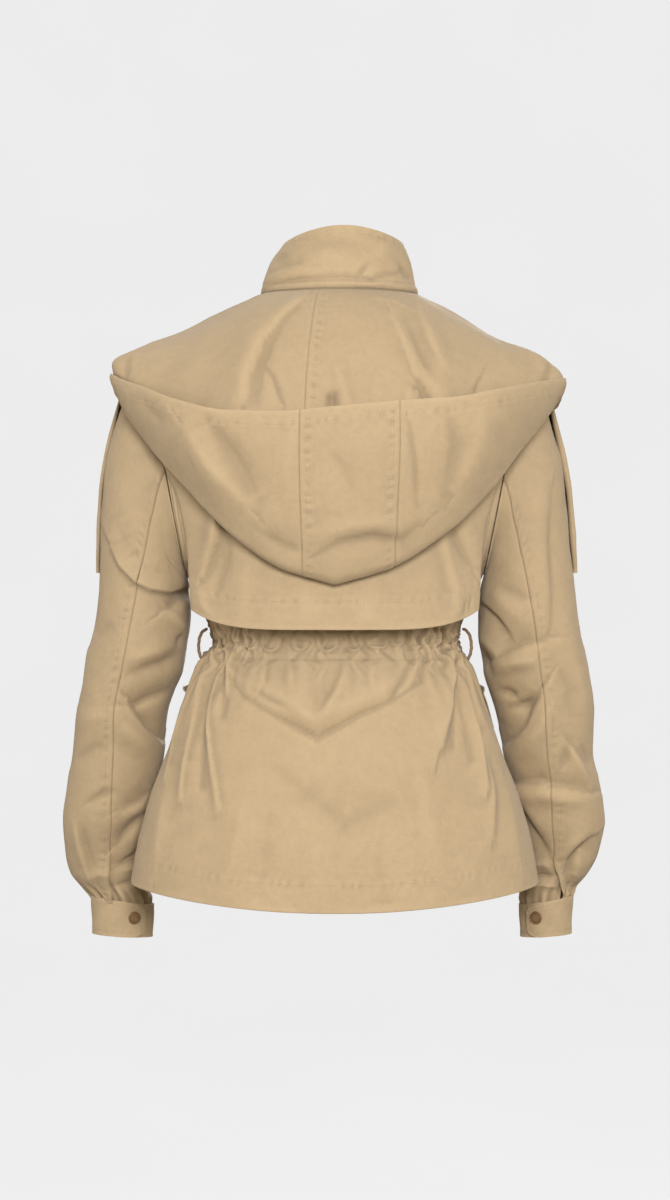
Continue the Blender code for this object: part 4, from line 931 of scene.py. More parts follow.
# ---------------- from a surface to a finished piece of cloth
# A border of a cloth piece: which side of its grid, how it is finished, how deep the hem or the seam
# allowance is, how far from the edge its rows of stitches run, how high they pucker, and the grid line that
# they start from.
Border = namedtuple("Border", "side finish depth stitches pucker first", defaults=(0.0, (), 0.0, 0))
# What a finish does to its edge: how far the cloth sinks there, and how much paler or darker its tone is,
# over what width and how far in. Above 0 it is paler, as rubbing pales a hem or an edge; below 0 it is
# darker: a dark line along seams, and painted shade along the hood's neck seam, under the collar's ridge
# (seated) and inside a flap's rolled edge. Creases die out at an edge and run on over a lapped one.
Finish = namedtuple("Finish", "sunk rubbed width at", defaults=(0.0,))
FINISHES = {
    "seam": Finish(0.00035, -0.4, 0.0012),
    "felled": Finish(0.00035, -0.4, 0.0012),
    "neck": Finish(0.00100, -1.5, 0.0034),
    "seated": Finish(0.0, -2.4, 0.0012, 0.0066),
    "lapped": Finish(0.00020, 0.2, 0.0028),
    "hem": Finish(0.0, 0.9, 0.0028),
    "plain": Finish(0.0, 0.9, 0.0028),
    "rolled": Finish(0.0, -1.6, 0.0044),
}
SUNK_WIDTH = 0.0013
STITCH_SUNK = 0.00025
STITCH_SUNK_WIDTH = 0.0011
PUCKER_WIDTH = 0.0042
ALLOWANCE_HEIGHT = 0.00025
ALLOWANCE_FADE = 0.0030
CREASES_DIE_OVER = 0.010
# A felled allowance's rows: how far past the edge, and how far down as a share of the whole step.
ALLOWANCE_ROWS = ((0.0055, 1.0), (0.0016, 1.0), (0.0003, 0.45))
ALLOWANCE_STEP = 2.4


def from_border(array, side):
    """A grid turned so that its first row is that border."""
    turned = array.swapaxes(0, 1) if side in ("left", "right") else array
    return turned[::-1] if side in ("high", "right") else turned


def to_grid(array, side):
    """The opposite of from_border."""
    turned = array[::-1] if side in ("high", "right") else array
    return turned.swapaxes(0, 1) if side in ("left", "right") else turned


def distances(points, axis):
    """Length along the grid's lines from their first point."""
    steps = np.linalg.norm(np.diff(points, axis=axis), axis=-1)
    zero = np.zeros_like(np.take(steps, [0], axis=axis))
    return np.concatenate([zero, np.cumsum(steps, axis=axis)], axis=axis)


def grid_normals(points, flip):
    """Unit normals of a grid: the cross product of its two directions."""
    normal = np.cross(np.gradient(points, axis=1), np.gradient(points, axis=0))
    return unit(-normal if flip else normal)


def sewn_relief(points, border):
    """What sewing does to the cloth beside a border: the edge of a seam sinks, a seam allowance or hem below
    makes a raised band, and each row of stitches sinks a little and puckers in uneven waves beside it."""
    turned = from_border(points, border.side)
    far = distances(turned, 0)
    run = distances(turned, 1)[:1] + 0.0 * far
    height = -FINISHES[border.finish].sunk * np.exp(-(far / SUNK_WIDTH) ** 2)
    if border.depth > 0.0:
        height += ALLOWANCE_HEIGHT * (1.0 - ease((far - border.depth) / ALLOWANCE_FADE))
    wave = np.sin(run * 620.0 + 1.4 * np.sin(run * 170.0)) * (0.65 + 0.35 * np.sin(run * 97.0 + 1.0))
    for row in border.stitches:
        height += border.pucker * wave * np.exp(-((far - row) / PUCKER_WIDTH) ** 2)
        height -= STITCH_SUNK * np.exp(-((far - row) / STITCH_SUNK_WIDTH) ** 2)
    height[:, :border.first] = 0.0
    return to_grid(height, border.side)


def standing(height, reach=2):
    """How far each point of a grid stands above the mean of its four neighbours reach steps away."""
    wide = np.pad(height, reach, mode="edge")
    middle, low, high = slice(reach, -reach), slice(0, -2 * reach), slice(2 * reach, None)
    return height - 0.25 * (wide[low, middle] + wide[high, middle] + wide[middle, low] + wide[middle, high])


def at_distance(values, far, distance):
    """Values on the line that runs at that distance from a border, between the rows on each side of it."""
    k = np.clip((far < distance).sum(axis=0), 1, len(far) - 1)
    j = np.arange(values.shape[1])
    share = ((distance - far[k - 1, j]) / (far[k, j] - far[k - 1, j] + 1e-12))[:, None]
    return values[k - 1, j] * (1 - share) + values[k, j] * share


def stitch_lines(points, normals, seen, border):
    """The path and normals of each row of stitches beside a border, on the side of the cloth that shows."""
    wall = bpy.context.scene.jacket_cloth.wall
    points = points - normals * (wall * (seen < 0))[..., None]
    turned, facing = from_border(points, border.side), from_border(normals * seen[..., None], border.side)
    far = distances(turned, 0)
    return [(at_distance(turned, far, row)[border.first:], unit(at_distance(facing, far, row))[border.first:])
            for row in border.stitches]


def turn_under(points, normals, wear, border, roll):
    """Adds a turned hem: a half circle of radius roll round the edge, then the cloth again below itself for
    the hem's depth."""
    p, n, worn_and_shaded = (from_border(a, border.side) for a in (points, normals, wear))
    far = distances(p, 0)
    rows = int(np.clip((far.mean(axis=1) < border.depth).sum(), 2, len(p) - 1))
    off = unit(p[0] - p[1])
    bend = np.linspace(np.pi, 0.0, 6)[1:-1, None, None]
    arc = p[0] + roll * np.sin(bend) * off - roll * (1.0 - np.cos(bend)) * n[0]
    under = (p[:rows] - 2.0 * roll * n[:rows])[::-1]
    joined = np.concatenate([under, arc, p])
    facing = np.concatenate([-n[:rows][::-1], off + 0.0 * arc, n])
    worn_and_shaded = np.concatenate([0.0 * worn_and_shaded[:rows], np.ones(arc.shape[:2]), worn_and_shaded])
    return tuple(to_grid(a, border.side) for a in (joined, facing, worn_and_shaded))


def run_below(points, normals, wear, border, down):
    """Adds a felled seam's allowance: past the edge the cloth steps down below the next panel and runs on."""
    p, n, worn_and_shaded = (from_border(a, border.side) for a in (points, normals, wear))
    off = unit(p[0] - p[1])
    below = np.stack([p[0] + reach * off - share * down * n[0] for reach, share in ALLOWANCE_ROWS])
    joined = (np.concatenate([below, p]), np.concatenate([n[:1]] * len(below) + [n]),
              np.concatenate([worn_and_shaded[:1]] * len(below) + [worn_and_shaded]))
    return tuple(to_grid(a, border.side) for a in joined)


def grid_mesh(name, points, flip=False, **layers):
    """A mesh of quads on a grid of points. A layer named weave gives the UV map, any other an attribute."""
    rows, columns = points.shape[:2]
    index = np.arange(rows * columns).reshape(rows, columns)
    quads = np.stack([index[:-1, :-1], index[:-1, 1:], index[1:, 1:], index[1:, :-1]], axis=-1).reshape(-1, 4)
    return quad_mesh(name, points.reshape(-1, 3), quads[:, ::-1] if flip else quads, **layers)


def quad_mesh(name, points, quads, **layers):
    """A mesh of points and faces, which all have as many corners as the rows of quads."""
    mesh = bpy.data.meshes.new(name)
    mesh.vertices.add(len(points))
    mesh.vertices.foreach_set("co", np.ascontiguousarray(points, dtype=np.float32).ravel())
    mesh.loops.add(quads.size)
    mesh.loops.foreach_set("vertex_index", np.ascontiguousarray(quads, dtype=np.int32).ravel())
    mesh.polygons.add(len(quads))
    mesh.polygons.foreach_set("loop_start", np.arange(0, quads.size, quads.shape[1], dtype=np.int32))
    mesh.update(calc_edges=True)
    for layer, values in layers.items():
        if layer == "weave":
            flat = values.reshape(-1, 2)[quads.ravel()]
            mesh.uv_layers.new(name=layer).data.foreach_set("uv", flat.astype(np.float32).ravel())
        else:
            made = mesh.attributes.new(layer, "FLOAT", "POINT")
            made.data.foreach_set("value", values.astype(np.float32).ravel())
    mesh.shade_smooth()
    return mesh


def run_on(mesh, shape, border):
    """Marks the unsewn start of a border sharp, so that its wall doesn't bend the shading where the next
    panel carries the cloth on."""
    line = from_border(np.arange(shape[0] * shape[1]).reshape(shape), border.side)[0, :border.first + 1]
    ends = np.empty(2 * len(mesh.edges), dtype=np.int32)
    mesh.edges.foreach_get("vertices", ends)
    made = mesh.attributes.new("sharp_edge", "BOOLEAN", "EDGE")
    made.data.foreach_set("value", np.isin(ends.reshape(-1, 2), line).all(axis=1))


def show(name, mesh, material):
    """Puts a mesh in the scene as a piece that rides on the jacket's one body."""
    mesh.materials.append(material)
    piece = bpy.data.objects.new(name, mesh)
    bpy.context.scene.collection.objects.link(piece)
    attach(piece, "root")
    return piece


# A stitch's rings: how far along it, as a share of its length, and their radius as a share of its width.
SPINDLE = ((-0.34, 0.46), (0.0, 0.60), (0.34, 0.46))


def stitches(name, lines):
    """One mesh of stitches along lines of (points, normals). Each is a spindle of three rings of four points
    and two tips, laid along the line and half sunk in the cloth."""
    look = bpy.context.scene.jacket_cloth
    rings = [(x, r * np.cos(a), r * np.sin(a)) for x, r in SPINDLE for a in np.radians([45, 135, 225, 315])]
    shape = np.array([(-0.5, 0.0, 0.0)] + rings + [(0.5, 0.0, 0.0)])
    side = [(1 + 4 * k + i, 1 + 4 * k + (i + 1) % 4, 5 + 4 * k + (i + 1) % 4, 5 + 4 * k + i)
            for k in range(2) for i in range(4)]
    tips = [(0, 1 + (i + 1) % 4, 1 + i) for i in range(4)] + [(13, 9 + i, 9 + (i + 1) % 4) for i in range(4)]
    corners = np.array([(a, b, c) for a, b, c, _ in side] + [(a, c, d) for a, _, c, d in side] + tips)
    pitch = look.stitch + look.stitch_gap
    points, faces, count = [], [], 0
    for path, facing in lines:
        run = distances(path[None], 1)[0]
        middle = np.arange(pitch, run[-1] - pitch, pitch)
        if not len(middle):
            continue
        ends = [np.stack([np.interp(middle + d, run, path[:, i]) for i in range(3)], axis=-1)
                for d in (-0.5 * look.stitch, 0.5 * look.stitch)]
        normal = unit(np.stack([np.interp(middle, run, facing[:, i]) for i in range(3)], axis=-1))
        along = unit(ends[1] - ends[0])
        normal = unit(normal - along * (normal * along).sum(axis=-1, keepdims=True))
        across = np.cross(normal, along)
        centre = 0.5 * (ends[0] + ends[1]) + normal * 0.25 * look.stitch_width
        size = np.array([look.stitch, look.stitch_width, look.stitch_width]) * shape
        points.append((centre[:, None] + along[:, None] * size[:, :1] + across[:, None] * size[:, 1:2]
                       + normal[:, None] * size[:, 2:]).reshape(-1, 3))
        start = len(shape) * (count + np.arange(len(middle)))
        faces.append((corners[None] + start[:, None, None]).reshape(-1, 3))
        count += len(middle)
    mesh = quad_mesh(name, np.concatenate(points), np.concatenate(faces))
    return show(name, mesh, thread_material())


def cloth(name, node, surface, across, along, borders, creased=None, flip=False, held="hung", wall=None,
          side_seen=None, lift=0.0):
    """A finished piece of cloth in place of a node: the surface, its creases and sewing, its hems turned
    under, its stitches, and its wall. creased(across, along, points) gives a height towards the side that
    shows, which side_seen(across, along) gives as 1 for the normal's own side and -1 for the other. lift
    moves the cloth along its normal first."""
    look = bpy.context.scene.jacket_cloth
    a, b = np.meshgrid(across, along)
    points = surface(a, b)
    normals = grid_normals(points, flip)
    points = points + lift * normals
    seen = np.ones(a.shape) if side_seen is None else side_seen(a, b)
    relief = look.crumple * (crumple(points, 0.040, 1.0) + 0.35 * crumple(points, 0.016, 2.0))
    if creased is not None:
        relief = relief + creased(a, b, points)
    nearest = np.full(relief.shape, 1e9)
    sewn = np.zeros(relief.shape)
    wear = np.zeros(relief.shape)
    for border in borders:
        far = distances(from_border(points, border.side), 0)
        far[:, :border.first] = 1.0
        far = to_grid(far, border.side)
        sewn = sewn + sewn_relief(points, border)
        finish = FINISHES[border.finish]
        # Each finish's tone at its edge: paler from rubbing at hems and edges, a dark line along seams, and
        # painted shade along the hood's neck seam, under the collar's ridge and inside a flap's rolled edge.
        wear = wear + finish.rubbed * np.exp(-((far - finish.at) / finish.width) ** 2)
        if border.finish != "lapped":
            nearest = np.minimum(nearest, far)
    relief = relief * (0.25 + 0.75 * ease(nearest / CREASES_DIE_OVER)) + sewn
    points = points + normals * (relief * seen)[..., None]
    normals = grid_normals(points, flip)
    # Painted shade and highlight: where the relief lies below its neighbours, in a crease's trough, the tone
    # is painted darker; where it stands above them, on a ridge, it is paler, partly from rubbing and partly
    # as painted highlight.
    wear = wear + np.clip(standing(relief) / 0.0006, -0.6, 0.6)
    lines = [line for border in borders for line in stitch_lines(points, normals, seen, border)]
    for border in sorted(borders, key=lambda each: each.finish != "felled"):
        if border.finish == "felled":
            points, normals, wear = run_below(points, normals, wear, border, ALLOWANCE_STEP * look.wall)
        if border.finish == "hem":
            points, normals, wear = turn_under(points, normals, wear, border, look.hem_roll)
    middle_row, middle_column = points.shape[0] // 2, points.shape[1] // 2
    u = distances(points, 1)[middle_row]
    v = distances(points, 0)[:, middle_column]
    weave = np.stack(np.meshgrid(u, v), axis=-1)
    mesh = grid_mesh(name, points, flip, weave=weave, wear=wear)
    for border in borders:
        if border.first:
            run_on(mesh, points.shape[:2], border)
    piece = show(name, mesh, cloth_material())
    solid = piece.modifiers.new("wall", "SOLIDIFY")
    solid.thickness = wall or look.wall
    solid.offset = -1.0
    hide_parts(node)
    sewing = [stitches(name + "_stitches", lines)] if lines else []
    declare_cut(points, held)
    return piece


def declare_cut(points, held):
    """Measures the longest row and the longest column of the cloth's grid, and keeps neither."""
    width = float(distances(points, 1)[:, -1].max())
    length = float(distances(points, 0)[-1].max())


# ---------------- materials
class Graph:
    """Short ways to add shader nodes to a material. A noise's scale counts its lumps in a metre, and a bump's
    distance is in metres."""

    def __init__(self, made):
        self.nodes = made.node_tree.nodes
        self.links = made.node_tree.links
        self.look = bpy.context.scene.jacket_cloth
        coordinates = self.add("ShaderNodeTexCoord").outputs
        self.place, self.flat = coordinates["Object"], coordinates["UV"]

    def add(self, kind, **values):
        node = self.nodes.new(kind)
        for name, value in values.items():
            if hasattr(node, name):
                setattr(node, name, value)
            else:
                self.put(node.inputs[name.replace("_", " ").title()], value)
        return node

    def put(self, socket, value):
        if isinstance(value, bpy.types.NodeSocket):
            self.links.new(value, socket)
        else:
            socket.default_value = value

    def noise(self, place, scale, detail=2.0, roughness=0.5):
        return self.add("ShaderNodeTexNoise", vector=place, scale=scale, detail=detail,
                        roughness=roughness).outputs["Fac"]

    def ridges(self, place, scale, detail):
        return self.add("ShaderNodeTexNoise", noise_type="RIDGED_MULTIFRACTAL", vector=place, scale=scale,
                        detail=detail).outputs["Fac"]

    def wave(self, place, scale, direction):
        return self.add("ShaderNodeTexWave", vector=place, scale=scale, bands_direction=direction,
                        distortion=0.6, detail=0.0).outputs["Fac"]

    def stretch(self, place, x, y, z):
        return self.add("ShaderNodeMapping", vector=place, scale=(x, y, z)).outputs[0]

    # The mesh attribute that the materials mix their tone from: rubbing, and painted shade and highlight.
    def rubbed(self):
        return self.add("ShaderNodeAttribute", attribute_name="wear").outputs["Fac"]

    def math(self, operation, a, b):
        node = self.add("ShaderNodeMath", operation=operation)
        self.put(node.inputs[0], a)
        self.put(node.inputs[1], b)
        return node.outputs[0]

    def mix(self, share, a, b):
        node = self.add("ShaderNodeMix", data_type="RGBA")
        for socket, value in (("Factor", share), (6, a), (7, b)):
            self.put(node.inputs[socket], value)
        return node.outputs[2]

    def between(self, value, low, high, to_low, to_high):
        return self.add("ShaderNodeMapRange", value=value, from_min=low, from_max=high, to_min=to_low,
                        to_max=to_high).outputs[0]

    def bump(self, height, strength, distance, below=None):
        node = self.add("ShaderNodeBump", strength=strength, distance=distance)
        self.put(node.inputs["Height"], height)
        if below is not None:
            self.put(node.inputs["Normal"], below)
        return node.outputs[0]

    def surface(self, values):
        """Gives the Principled shader its colour, bump and numbers."""
        for name, value in values.items():
            self.put(self.nodes["Principled BSDF"].inputs[name], value)


def shade(rgb, factor):
    """A colour made lighter or darker, with its alpha."""
    return tuple(min(1.0, c * factor) for c in rgb) + (1.0,)


def finished(name):
    """Makes a material of that name when it is first asked for. The function that follows adds its nodes."""
    def once(add_nodes):
        def material():
            made = bpy.data.materials.get(name)
            if made is None:
                made = bpy.data.materials.new(name)
                made.use_nodes = True
                add_nodes(Graph(made))
            return made
        return material
    return once


@finished("tan_cotton")
def cloth_material(g):
    """Tan cotton: warp and weft threads with slubs, a faintly washed tone, hems and edges paler from rubbing,
    and painted shade and highlight: crease troughs, the neck seam, the collar's foot and the flaps' rolls
    painted darker, ridges paler.
    """
    tan = g.look.cloth
    turns = np.pi / (10.0 * g.look.weave)
    threads = g.math("MAXIMUM", g.wave(g.flat, turns, "X"), g.wave(g.flat, turns, "Y"))
    slub_across = g.noise(g.stretch(g.flat, 90.0, 1400.0, 1.0), 1.0)
    slub_along = g.noise(g.stretch(g.flat, 1400.0, 90.0, 1.0), 1.0)
    slubs = g.math("ADD", slub_across, slub_along)
    washed = g.noise(g.place, 11.0, 3.0)
    mottled = g.noise(g.place, 160.0, 3.0, 0.6)
    worn_and_shaded = g.rubbed()
    tone = g.mix(g.between(washed, 0.35, 0.65, 0.0, 1.0), shade(tan, 0.965), shade(tan, 1.035))
    tone = g.mix(g.between(slubs, 0.7, 1.3, 0.0, 0.45), tone, shade(tan, 1.12))
    tone = g.mix(g.between(mottled, 0.35, 0.70, 0.0, 0.50), tone, shade(tan, 0.88))
    # Paler from rubbing at hems and edges and on ridges, where it is also a painted highlight; darker along
    # seams and as painted shade in crease troughs, along the neck seam, under the collar's ridge and in the
    # flaps' rolls.
    tone = g.mix(g.between(worn_and_shaded, 0.0, 1.0, 0.0, 0.40), tone, shade(tan, 1.22))
    tone = g.mix(g.between(worn_and_shaded, -1.5, 0.0, 1.0, 0.0), tone, shade(tan, 0.60))
    rumpled = g.bump(g.ridges(g.place, 15.0, 2.5), 0.7, 0.0042)
    creased = g.bump(g.ridges(g.place, 48.0, 2.0), 0.6, 0.0014, rumpled)
    uneven = g.bump(mottled, 0.30, 0.0006, creased)
    slubbed = g.bump(slubs, 0.45, 0.0005, uneven)
    g.surface({"Base Color": tone, "Normal": g.bump(threads, 0.40, 0.0002, slubbed),
               "Roughness": g.between(slubs, 0.6, 1.4, 0.78, 0.92), "Specular IOR Level": 0.25,
               "Sheen Weight": 0.12, "Sheen Roughness": 0.5})


@finished("tan_thread")
def thread_material(g):
    """Topstitching thread: a little paler than the cloth, twisted."""
    thread, uneven = g.look.thread, g.noise(g.place, 40.0)
    tone = g.mix(g.between(uneven, 0.3, 0.7, 0.0, 1.0), shade(thread, 0.88), shade(thread, 1.08))
    g.surface({"Base Color": tone, "Normal": g.bump(g.noise(g.place, 2600.0), 0.4, 0.0002),
               "Roughness": 0.7, "Sheen Weight": 0.1})


@finished("brown_cord_weave")
def cord_material(g):
    """Brown drawcord: woven, with painted shade darkening the valleys between its strands."""
    cord, fibres = g.look.cord, g.noise(g.place, 1500.0, 3.0)
    # Painted shade: the strands' height, held in the mesh attribute, darkens the valleys between them.
    tone = g.mix(g.between(g.rubbed(), 0.0, 1.0, 0.0, 1.0), shade(cord, 0.55), shade(cord, 1.15))
    tone = g.mix(g.between(fibres, 0.35, 0.7, 0.0, 0.5), tone, shade(cord, 1.35))
    g.surface({"Base Color": tone, "Normal": g.bump(fibres, 0.5, 0.0003), "Roughness": 0.85,
               "Sheen Weight": 0.15})


@finished("antique_brass_patina")
def snap_material(g):
    """Antique brass: dark brown patina, rubbed brighter on the rim and the dome."""
    brass, patina = g.look.snap, g.noise(g.place, 420.0, 4.0, 0.6)
    tone = g.mix(g.between(patina, 0.35, 0.65, 0.0, 1.0), shade(brass, 0.62), shade(brass, 1.25))
    tone = g.mix(g.between(g.rubbed(), 0.0, 1.0, 0.0, 0.55), tone, shade(brass, 2.4))
    g.surface({"Base Color": tone, "Normal": g.bump(g.noise(g.place, 2200.0), 0.25, 0.0001),
               "Roughness": g.between(patina, 0.3, 0.7, 0.52, 0.72), "Metallic": 0.5})


@finished("studio_paper")
def paper_material(g):
    """The studio's pale floor and backdrop, which glow evenly."""
    paper = tuple(bpy.context.scene.jacket_studio.paper)
    grain = g.between(g.noise(g.place, 3.0), 0.3, 0.7, 0.0, 1.0)
    g.surface({"Emission Color": g.mix(grain, shade(paper, 0.995), shade(paper, 1.005)),
               "Emission Strength": 0.995, "Base Color": shade(paper, 0.008), "Roughness": 0.95,
               "Specular IOR Level": 0.1})


# ---------------- turned and round pieces
def closed_surface(name, points, wear):
    """A grid closed round on itself, with its poles merged and its faces outwards."""
    ring = np.concatenate([points, points[:, :1]], axis=1)
    mesh = grid_mesh(name, ring, wear=np.concatenate([wear, wear[:, :1]], axis=1))
    shape = bmesh.new()
    shape.from_mesh(mesh)
    bmesh.ops.remove_doubles(shape, verts=shape.verts, dist=1e-6)
    bmesh.ops.recalc_face_normals(shape, faces=shape.faces)
    shape.to_mesh(mesh)
    shape.free()
    return mesh


# A snap cap in profile: radius and height over the cloth, as shares of its radius and thickness, and how
# rubbed it is.
Profile = namedtuple("Profile", "radius height rubbed")
SNAP_PROFILE = [Profile(*row) for row in (
    (0, 0.8, 0.7), (0.22, 0.795, 0.6), (0.44, 0.78, 0.5), (0.62, 0.74, 0.3), (0.72, 0.66, 0), (0.77, 0.63, 0),
    (0.83, 0.72, 0.5), (0.89, 0.78, 1), (0.95, 0.68, 0.8), (0.985, 0.45, 0.4), (1, 0.2, 0), (0.97, 0, 0),
    (0, 0, 0))]


def snap(name, node, surface, u, v, outside):
    """A snap cap turned on the surface's own normal: its profile goes round through 32 steps."""
    step_u, step_v = 0.01 * np.array([[0, 1, -1, 0, 0], [0, 0, 0, 1, -1]])
    at, right, left, high, low = surface(u + step_u, v + step_v)
    normal = Vector(np.cross(right - left, high - low)).normalized()
    if normal.dot(Vector(outside)) < 0:
        normal.negate()
    first = normal.orthogonal().normalized()
    second = normal.cross(first)
    turn = np.linspace(0.0, 2 * np.pi, 32, endpoint=False)
    fine = np.linspace(0, len(SNAP_PROFILE) - 1, 37)
    radius, height, rubbed = (values[:, None] for values in columns(SNAP_PROFILE, fine))
    ring = np.cos(turn)[None, :, None] * np.array(first) + np.sin(turn)[None, :, None] * np.array(second)
    points = (at + ring * SNAP_RADIUS * radius[..., None]
              + np.array(normal) * (height[..., None] * SNAP_THICK + 1.2 * SEAM))
    mesh = closed_surface(name, points, rubbed + 0.0 * turn)
    piece = show(name, mesh, snap_material())
    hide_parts(node)


def cord_tube(name, node, side):
    """The drawcord's loop: a tube along its route whose radius rises and falls as two sets of strands that
    wind opposite ways."""
    route = np.array(CORD_ROUTE) * (side, 1.0, 1.0)
    at = np.linspace(0, len(route) - 1, 110)
    path = np.stack([through(route[:, i], at) for i in range(3)], axis=-1)
    run = distances(path[None], 1)[0]
    along = unit(np.gradient(path, axis=0))
    first = unit(np.cross(along, (0.0, 1.0, 0.0)))
    second = np.cross(along, first)
    turn = np.linspace(0.0, 2 * np.pi, 18, endpoint=False)
    wind = run[:, None] * CORD_WIND
    strands = np.maximum(np.cos(3 * turn + wind), np.cos(3 * turn - wind))
    ends = np.minimum(1.0, np.sqrt(np.clip(np.minimum(run, run[-1] - run) / CORD_RADIUS, 0.0, 1.0)))
    radius = (CORD_RADIUS * (0.90 + 0.10 * strands) * ends[:, None])[..., None]
    points = path[:, None] + radius * (np.cos(turn)[None, :, None] * first[:, None]
                                       + np.sin(turn)[None, :, None] * second[:, None])
    # The strands' height goes into the mesh attribute, from which the material paints shade in the valleys.
    mesh = closed_surface(name, points, np.clip(strands, 0.0, 1.0))
    piece = show(name, mesh, cord_material())
    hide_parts(node)


# ---------------- operators, one for each piece or group
class JacketOperator:
    """What the jacket's operators share."""
    bl_options = {"REGISTER", "UNDO"}


# The lamps: discs that look at the jacket's middle.
Lamp = namedtuple("Lamp", "name place size power")
LAMPS = (
    Lamp("key_light", (-0.15, 3.5, 0.38), 1.1, 138.0),
    Lamp("top_light", (0.0, 1.9, 2.4), 1.4, 9.0),
    Lamp("left_light", (3.0, 1.1, 0.35), 1.4, 34.0),
    Lamp("right_light", (-3.0, 1.1, 0.35), 1.4, 34.0),
    Lamp("front_key_light", (-0.5, -3.5, 0.45), 1.2, 138.0),
    Lamp("front_top_light", (0.3, -1.7, 2.6), 1.4, 30.0),
)
LAMP_COLOUR = (1.0, 0.99, 0.985)
LAMPS_LOOK_AT = (0.0, 0.0, -0.3)
AIR_COLOUR = (1.0, 0.86, 0.66, 1.0)
AIR_STRENGTH = 0.40
BACKDROP_BEND = 4.5
BACKDROP_RADIUS = 7.0
BACKDROP_HEIGHT = 6.5


class JACKET_OT_studio(JacketOperator, bpy.types.Operator):
    """Camera, soft lights, and a round backdrop that rises from the floor"""
    bl_idname = "jacket.studio"
    bl_label = "Studio"

    def execute(self, context):
        studio = context.scene.jacket_studio
        camera = bpy.data.objects.new("studio_camera", bpy.data.cameras.new("studio_camera"))
        camera.data.lens = studio.lens
        camera.data.clip_end = 60.0
        camera.location = (0.0, studio.distance, -studio.drop)
        camera.rotation_euler = (np.pi / 2, 0.0, np.pi)
        context.scene.collection.objects.link(camera)
        context.scene.camera = camera
        self.backdrop(studio)
        for lamp in LAMPS:
            self.light(lamp)
        world = bpy.data.worlds.new("studio_air")
        world.use_nodes = True
        air = world.node_tree.nodes["Background"].inputs
        air["Color"].default_value = AIR_COLOUR
        air["Strength"].default_value = AIR_STRENGTH
        context.scene.world = world
        context.scene.view_settings.view_transform = "Standard"
        return {"FINISHED"}

    def light(self, lamp):
        """One lamp, turned to the jacket's middle and unseen by the camera."""
        data = bpy.data.lights.new(lamp.name, "AREA")
        data.shape = "DISK"
        data.size = lamp.size
        data.energy = lamp.power
        data.color = LAMP_COLOUR
        made = bpy.data.objects.new(lamp.name, data)
        made.location = lamp.place
        made.rotation_euler = (Vector(lamp.place) - Vector(LAMPS_LOOK_AT)).to_track_quat("Z", "Y").to_euler()
        made.visible_camera = False
        bpy.context.scene.collection.objects.link(made)

    def backdrop(self, studio):
        """A profile turned round: level floor, quarter circle, upright wall."""
        floor, level = -studio.floor_drop, BACKDROP_RADIUS - BACKDROP_BEND
        flat = np.linspace(0.0, level, 8)
        turn = np.linspace(0.0, np.pi / 2, 14)[1:]
        radius = np.concatenate([flat, level + BACKDROP_BEND * np.sin(turn), [BACKDROP_RADIUS]])
        height = floor + np.concatenate([0.0 * flat, BACKDROP_BEND * (1 - np.cos(turn)), [BACKDROP_HEIGHT]])
        angle = np.linspace(0.0, 2 * np.pi, 96, endpoint=False)
        points = stack(radius[:, None] * np.cos(angle), radius[:, None] * np.sin(angle), height[:, None])
        mesh = closed_surface("studio_backdrop", points, 0.0 * points[..., 0])
        mesh.materials.append(paper_material())
        made = bpy.data.objects.new("studio_backdrop", mesh)
        bpy.context.scene.collection.objects.link(made)
        made.visible_diffuse = False
        made.visible_glossy = False


class JACKET_OT_drawcords(JacketOperator, bpy.types.Operator):
    """The drawcord where it loops out of the waist tunnel at each side"""
    bl_idname = "jacket.drawcords"
    bl_label = "Drawcords"

    def execute(self, context):
        for name, side in SIDES:
            cord_tube(name + "_drawcord_loop", "drawcord_" + name, side)
        return {"FINISHED"}


def waist_gathers(q, v, side, z, count, flat):
    """Folds that the drawn waist throws above and below the tunnel: crisp gathers that zigzag down the waist,
    stronger towards the sides, and wider ones that run out below them."""
    phase = gather_phase(q, count) + 0.3 * side
    start = ease((q - flat) / 0.06)
    bent = phase + 0.22 * np.sin(2 * np.pi * z / 0.026 + 1.9 * phase)
    wave = 1.1 - 2.2 * np.abs(np.sin(np.pi * bent)) ** 0.8 + 0.4 * np.sin(3.7 * np.pi * bent + 1.3)
    crisp = ease((v - 4.9) / 1.9) * (1.0 - 0.7 * ease((v - 9.0) / 1.6))
    size = 0.0010 + 0.0024 * ease((q - 0.42) / 0.3)
    flare = np.sin(np.pi * phase + 0.8) + 0.5 * np.sin(2 * np.pi * phase + 0.6)
    below = ease((v - 3.2) / 2.4) * (1.0 - ease((v - 6.4) / 0.8))
    return start * (size * wave * crisp + (0.0010 + 0.0018 * ease((q - 0.4) / 0.3)) * flare * below)


# The waist tunnel: the heights of its two rows of stitching, how they pull the cloth in, and the body row
# where the lower one's stitches run.
TUNNEL_HEIGHTS = (-0.3605, -0.3330)
TUNNEL_PULL = 0.0008
TUNNEL_PULL_WIDTH = 0.0022
TUNNEL_ROW = 6.28
HEM = 0.028
FRONT_CLEARANCE = 0.0016
# Grid lines from hem to shoulder, closest at the waist.
BACK_SPANS = ((0, 3, 40), (3, 6, 46), (6, 10, 54), (10, 16, 12))
FRONT_SPANS = ((0, 3, 28), (3, 6, 24), (6, 10, 22), (10, 16, 20))


def tunnel(z):
    """The waist tunnel's two rows of stitching pull the cloth in, each by a bell curve of height."""
    lower, upper = (np.exp(-((z - height) / TUNNEL_PULL_WIDTH) ** 2) for height in TUNNEL_HEIGHTS)
    return -TUNNEL_PULL * (lower + upper)


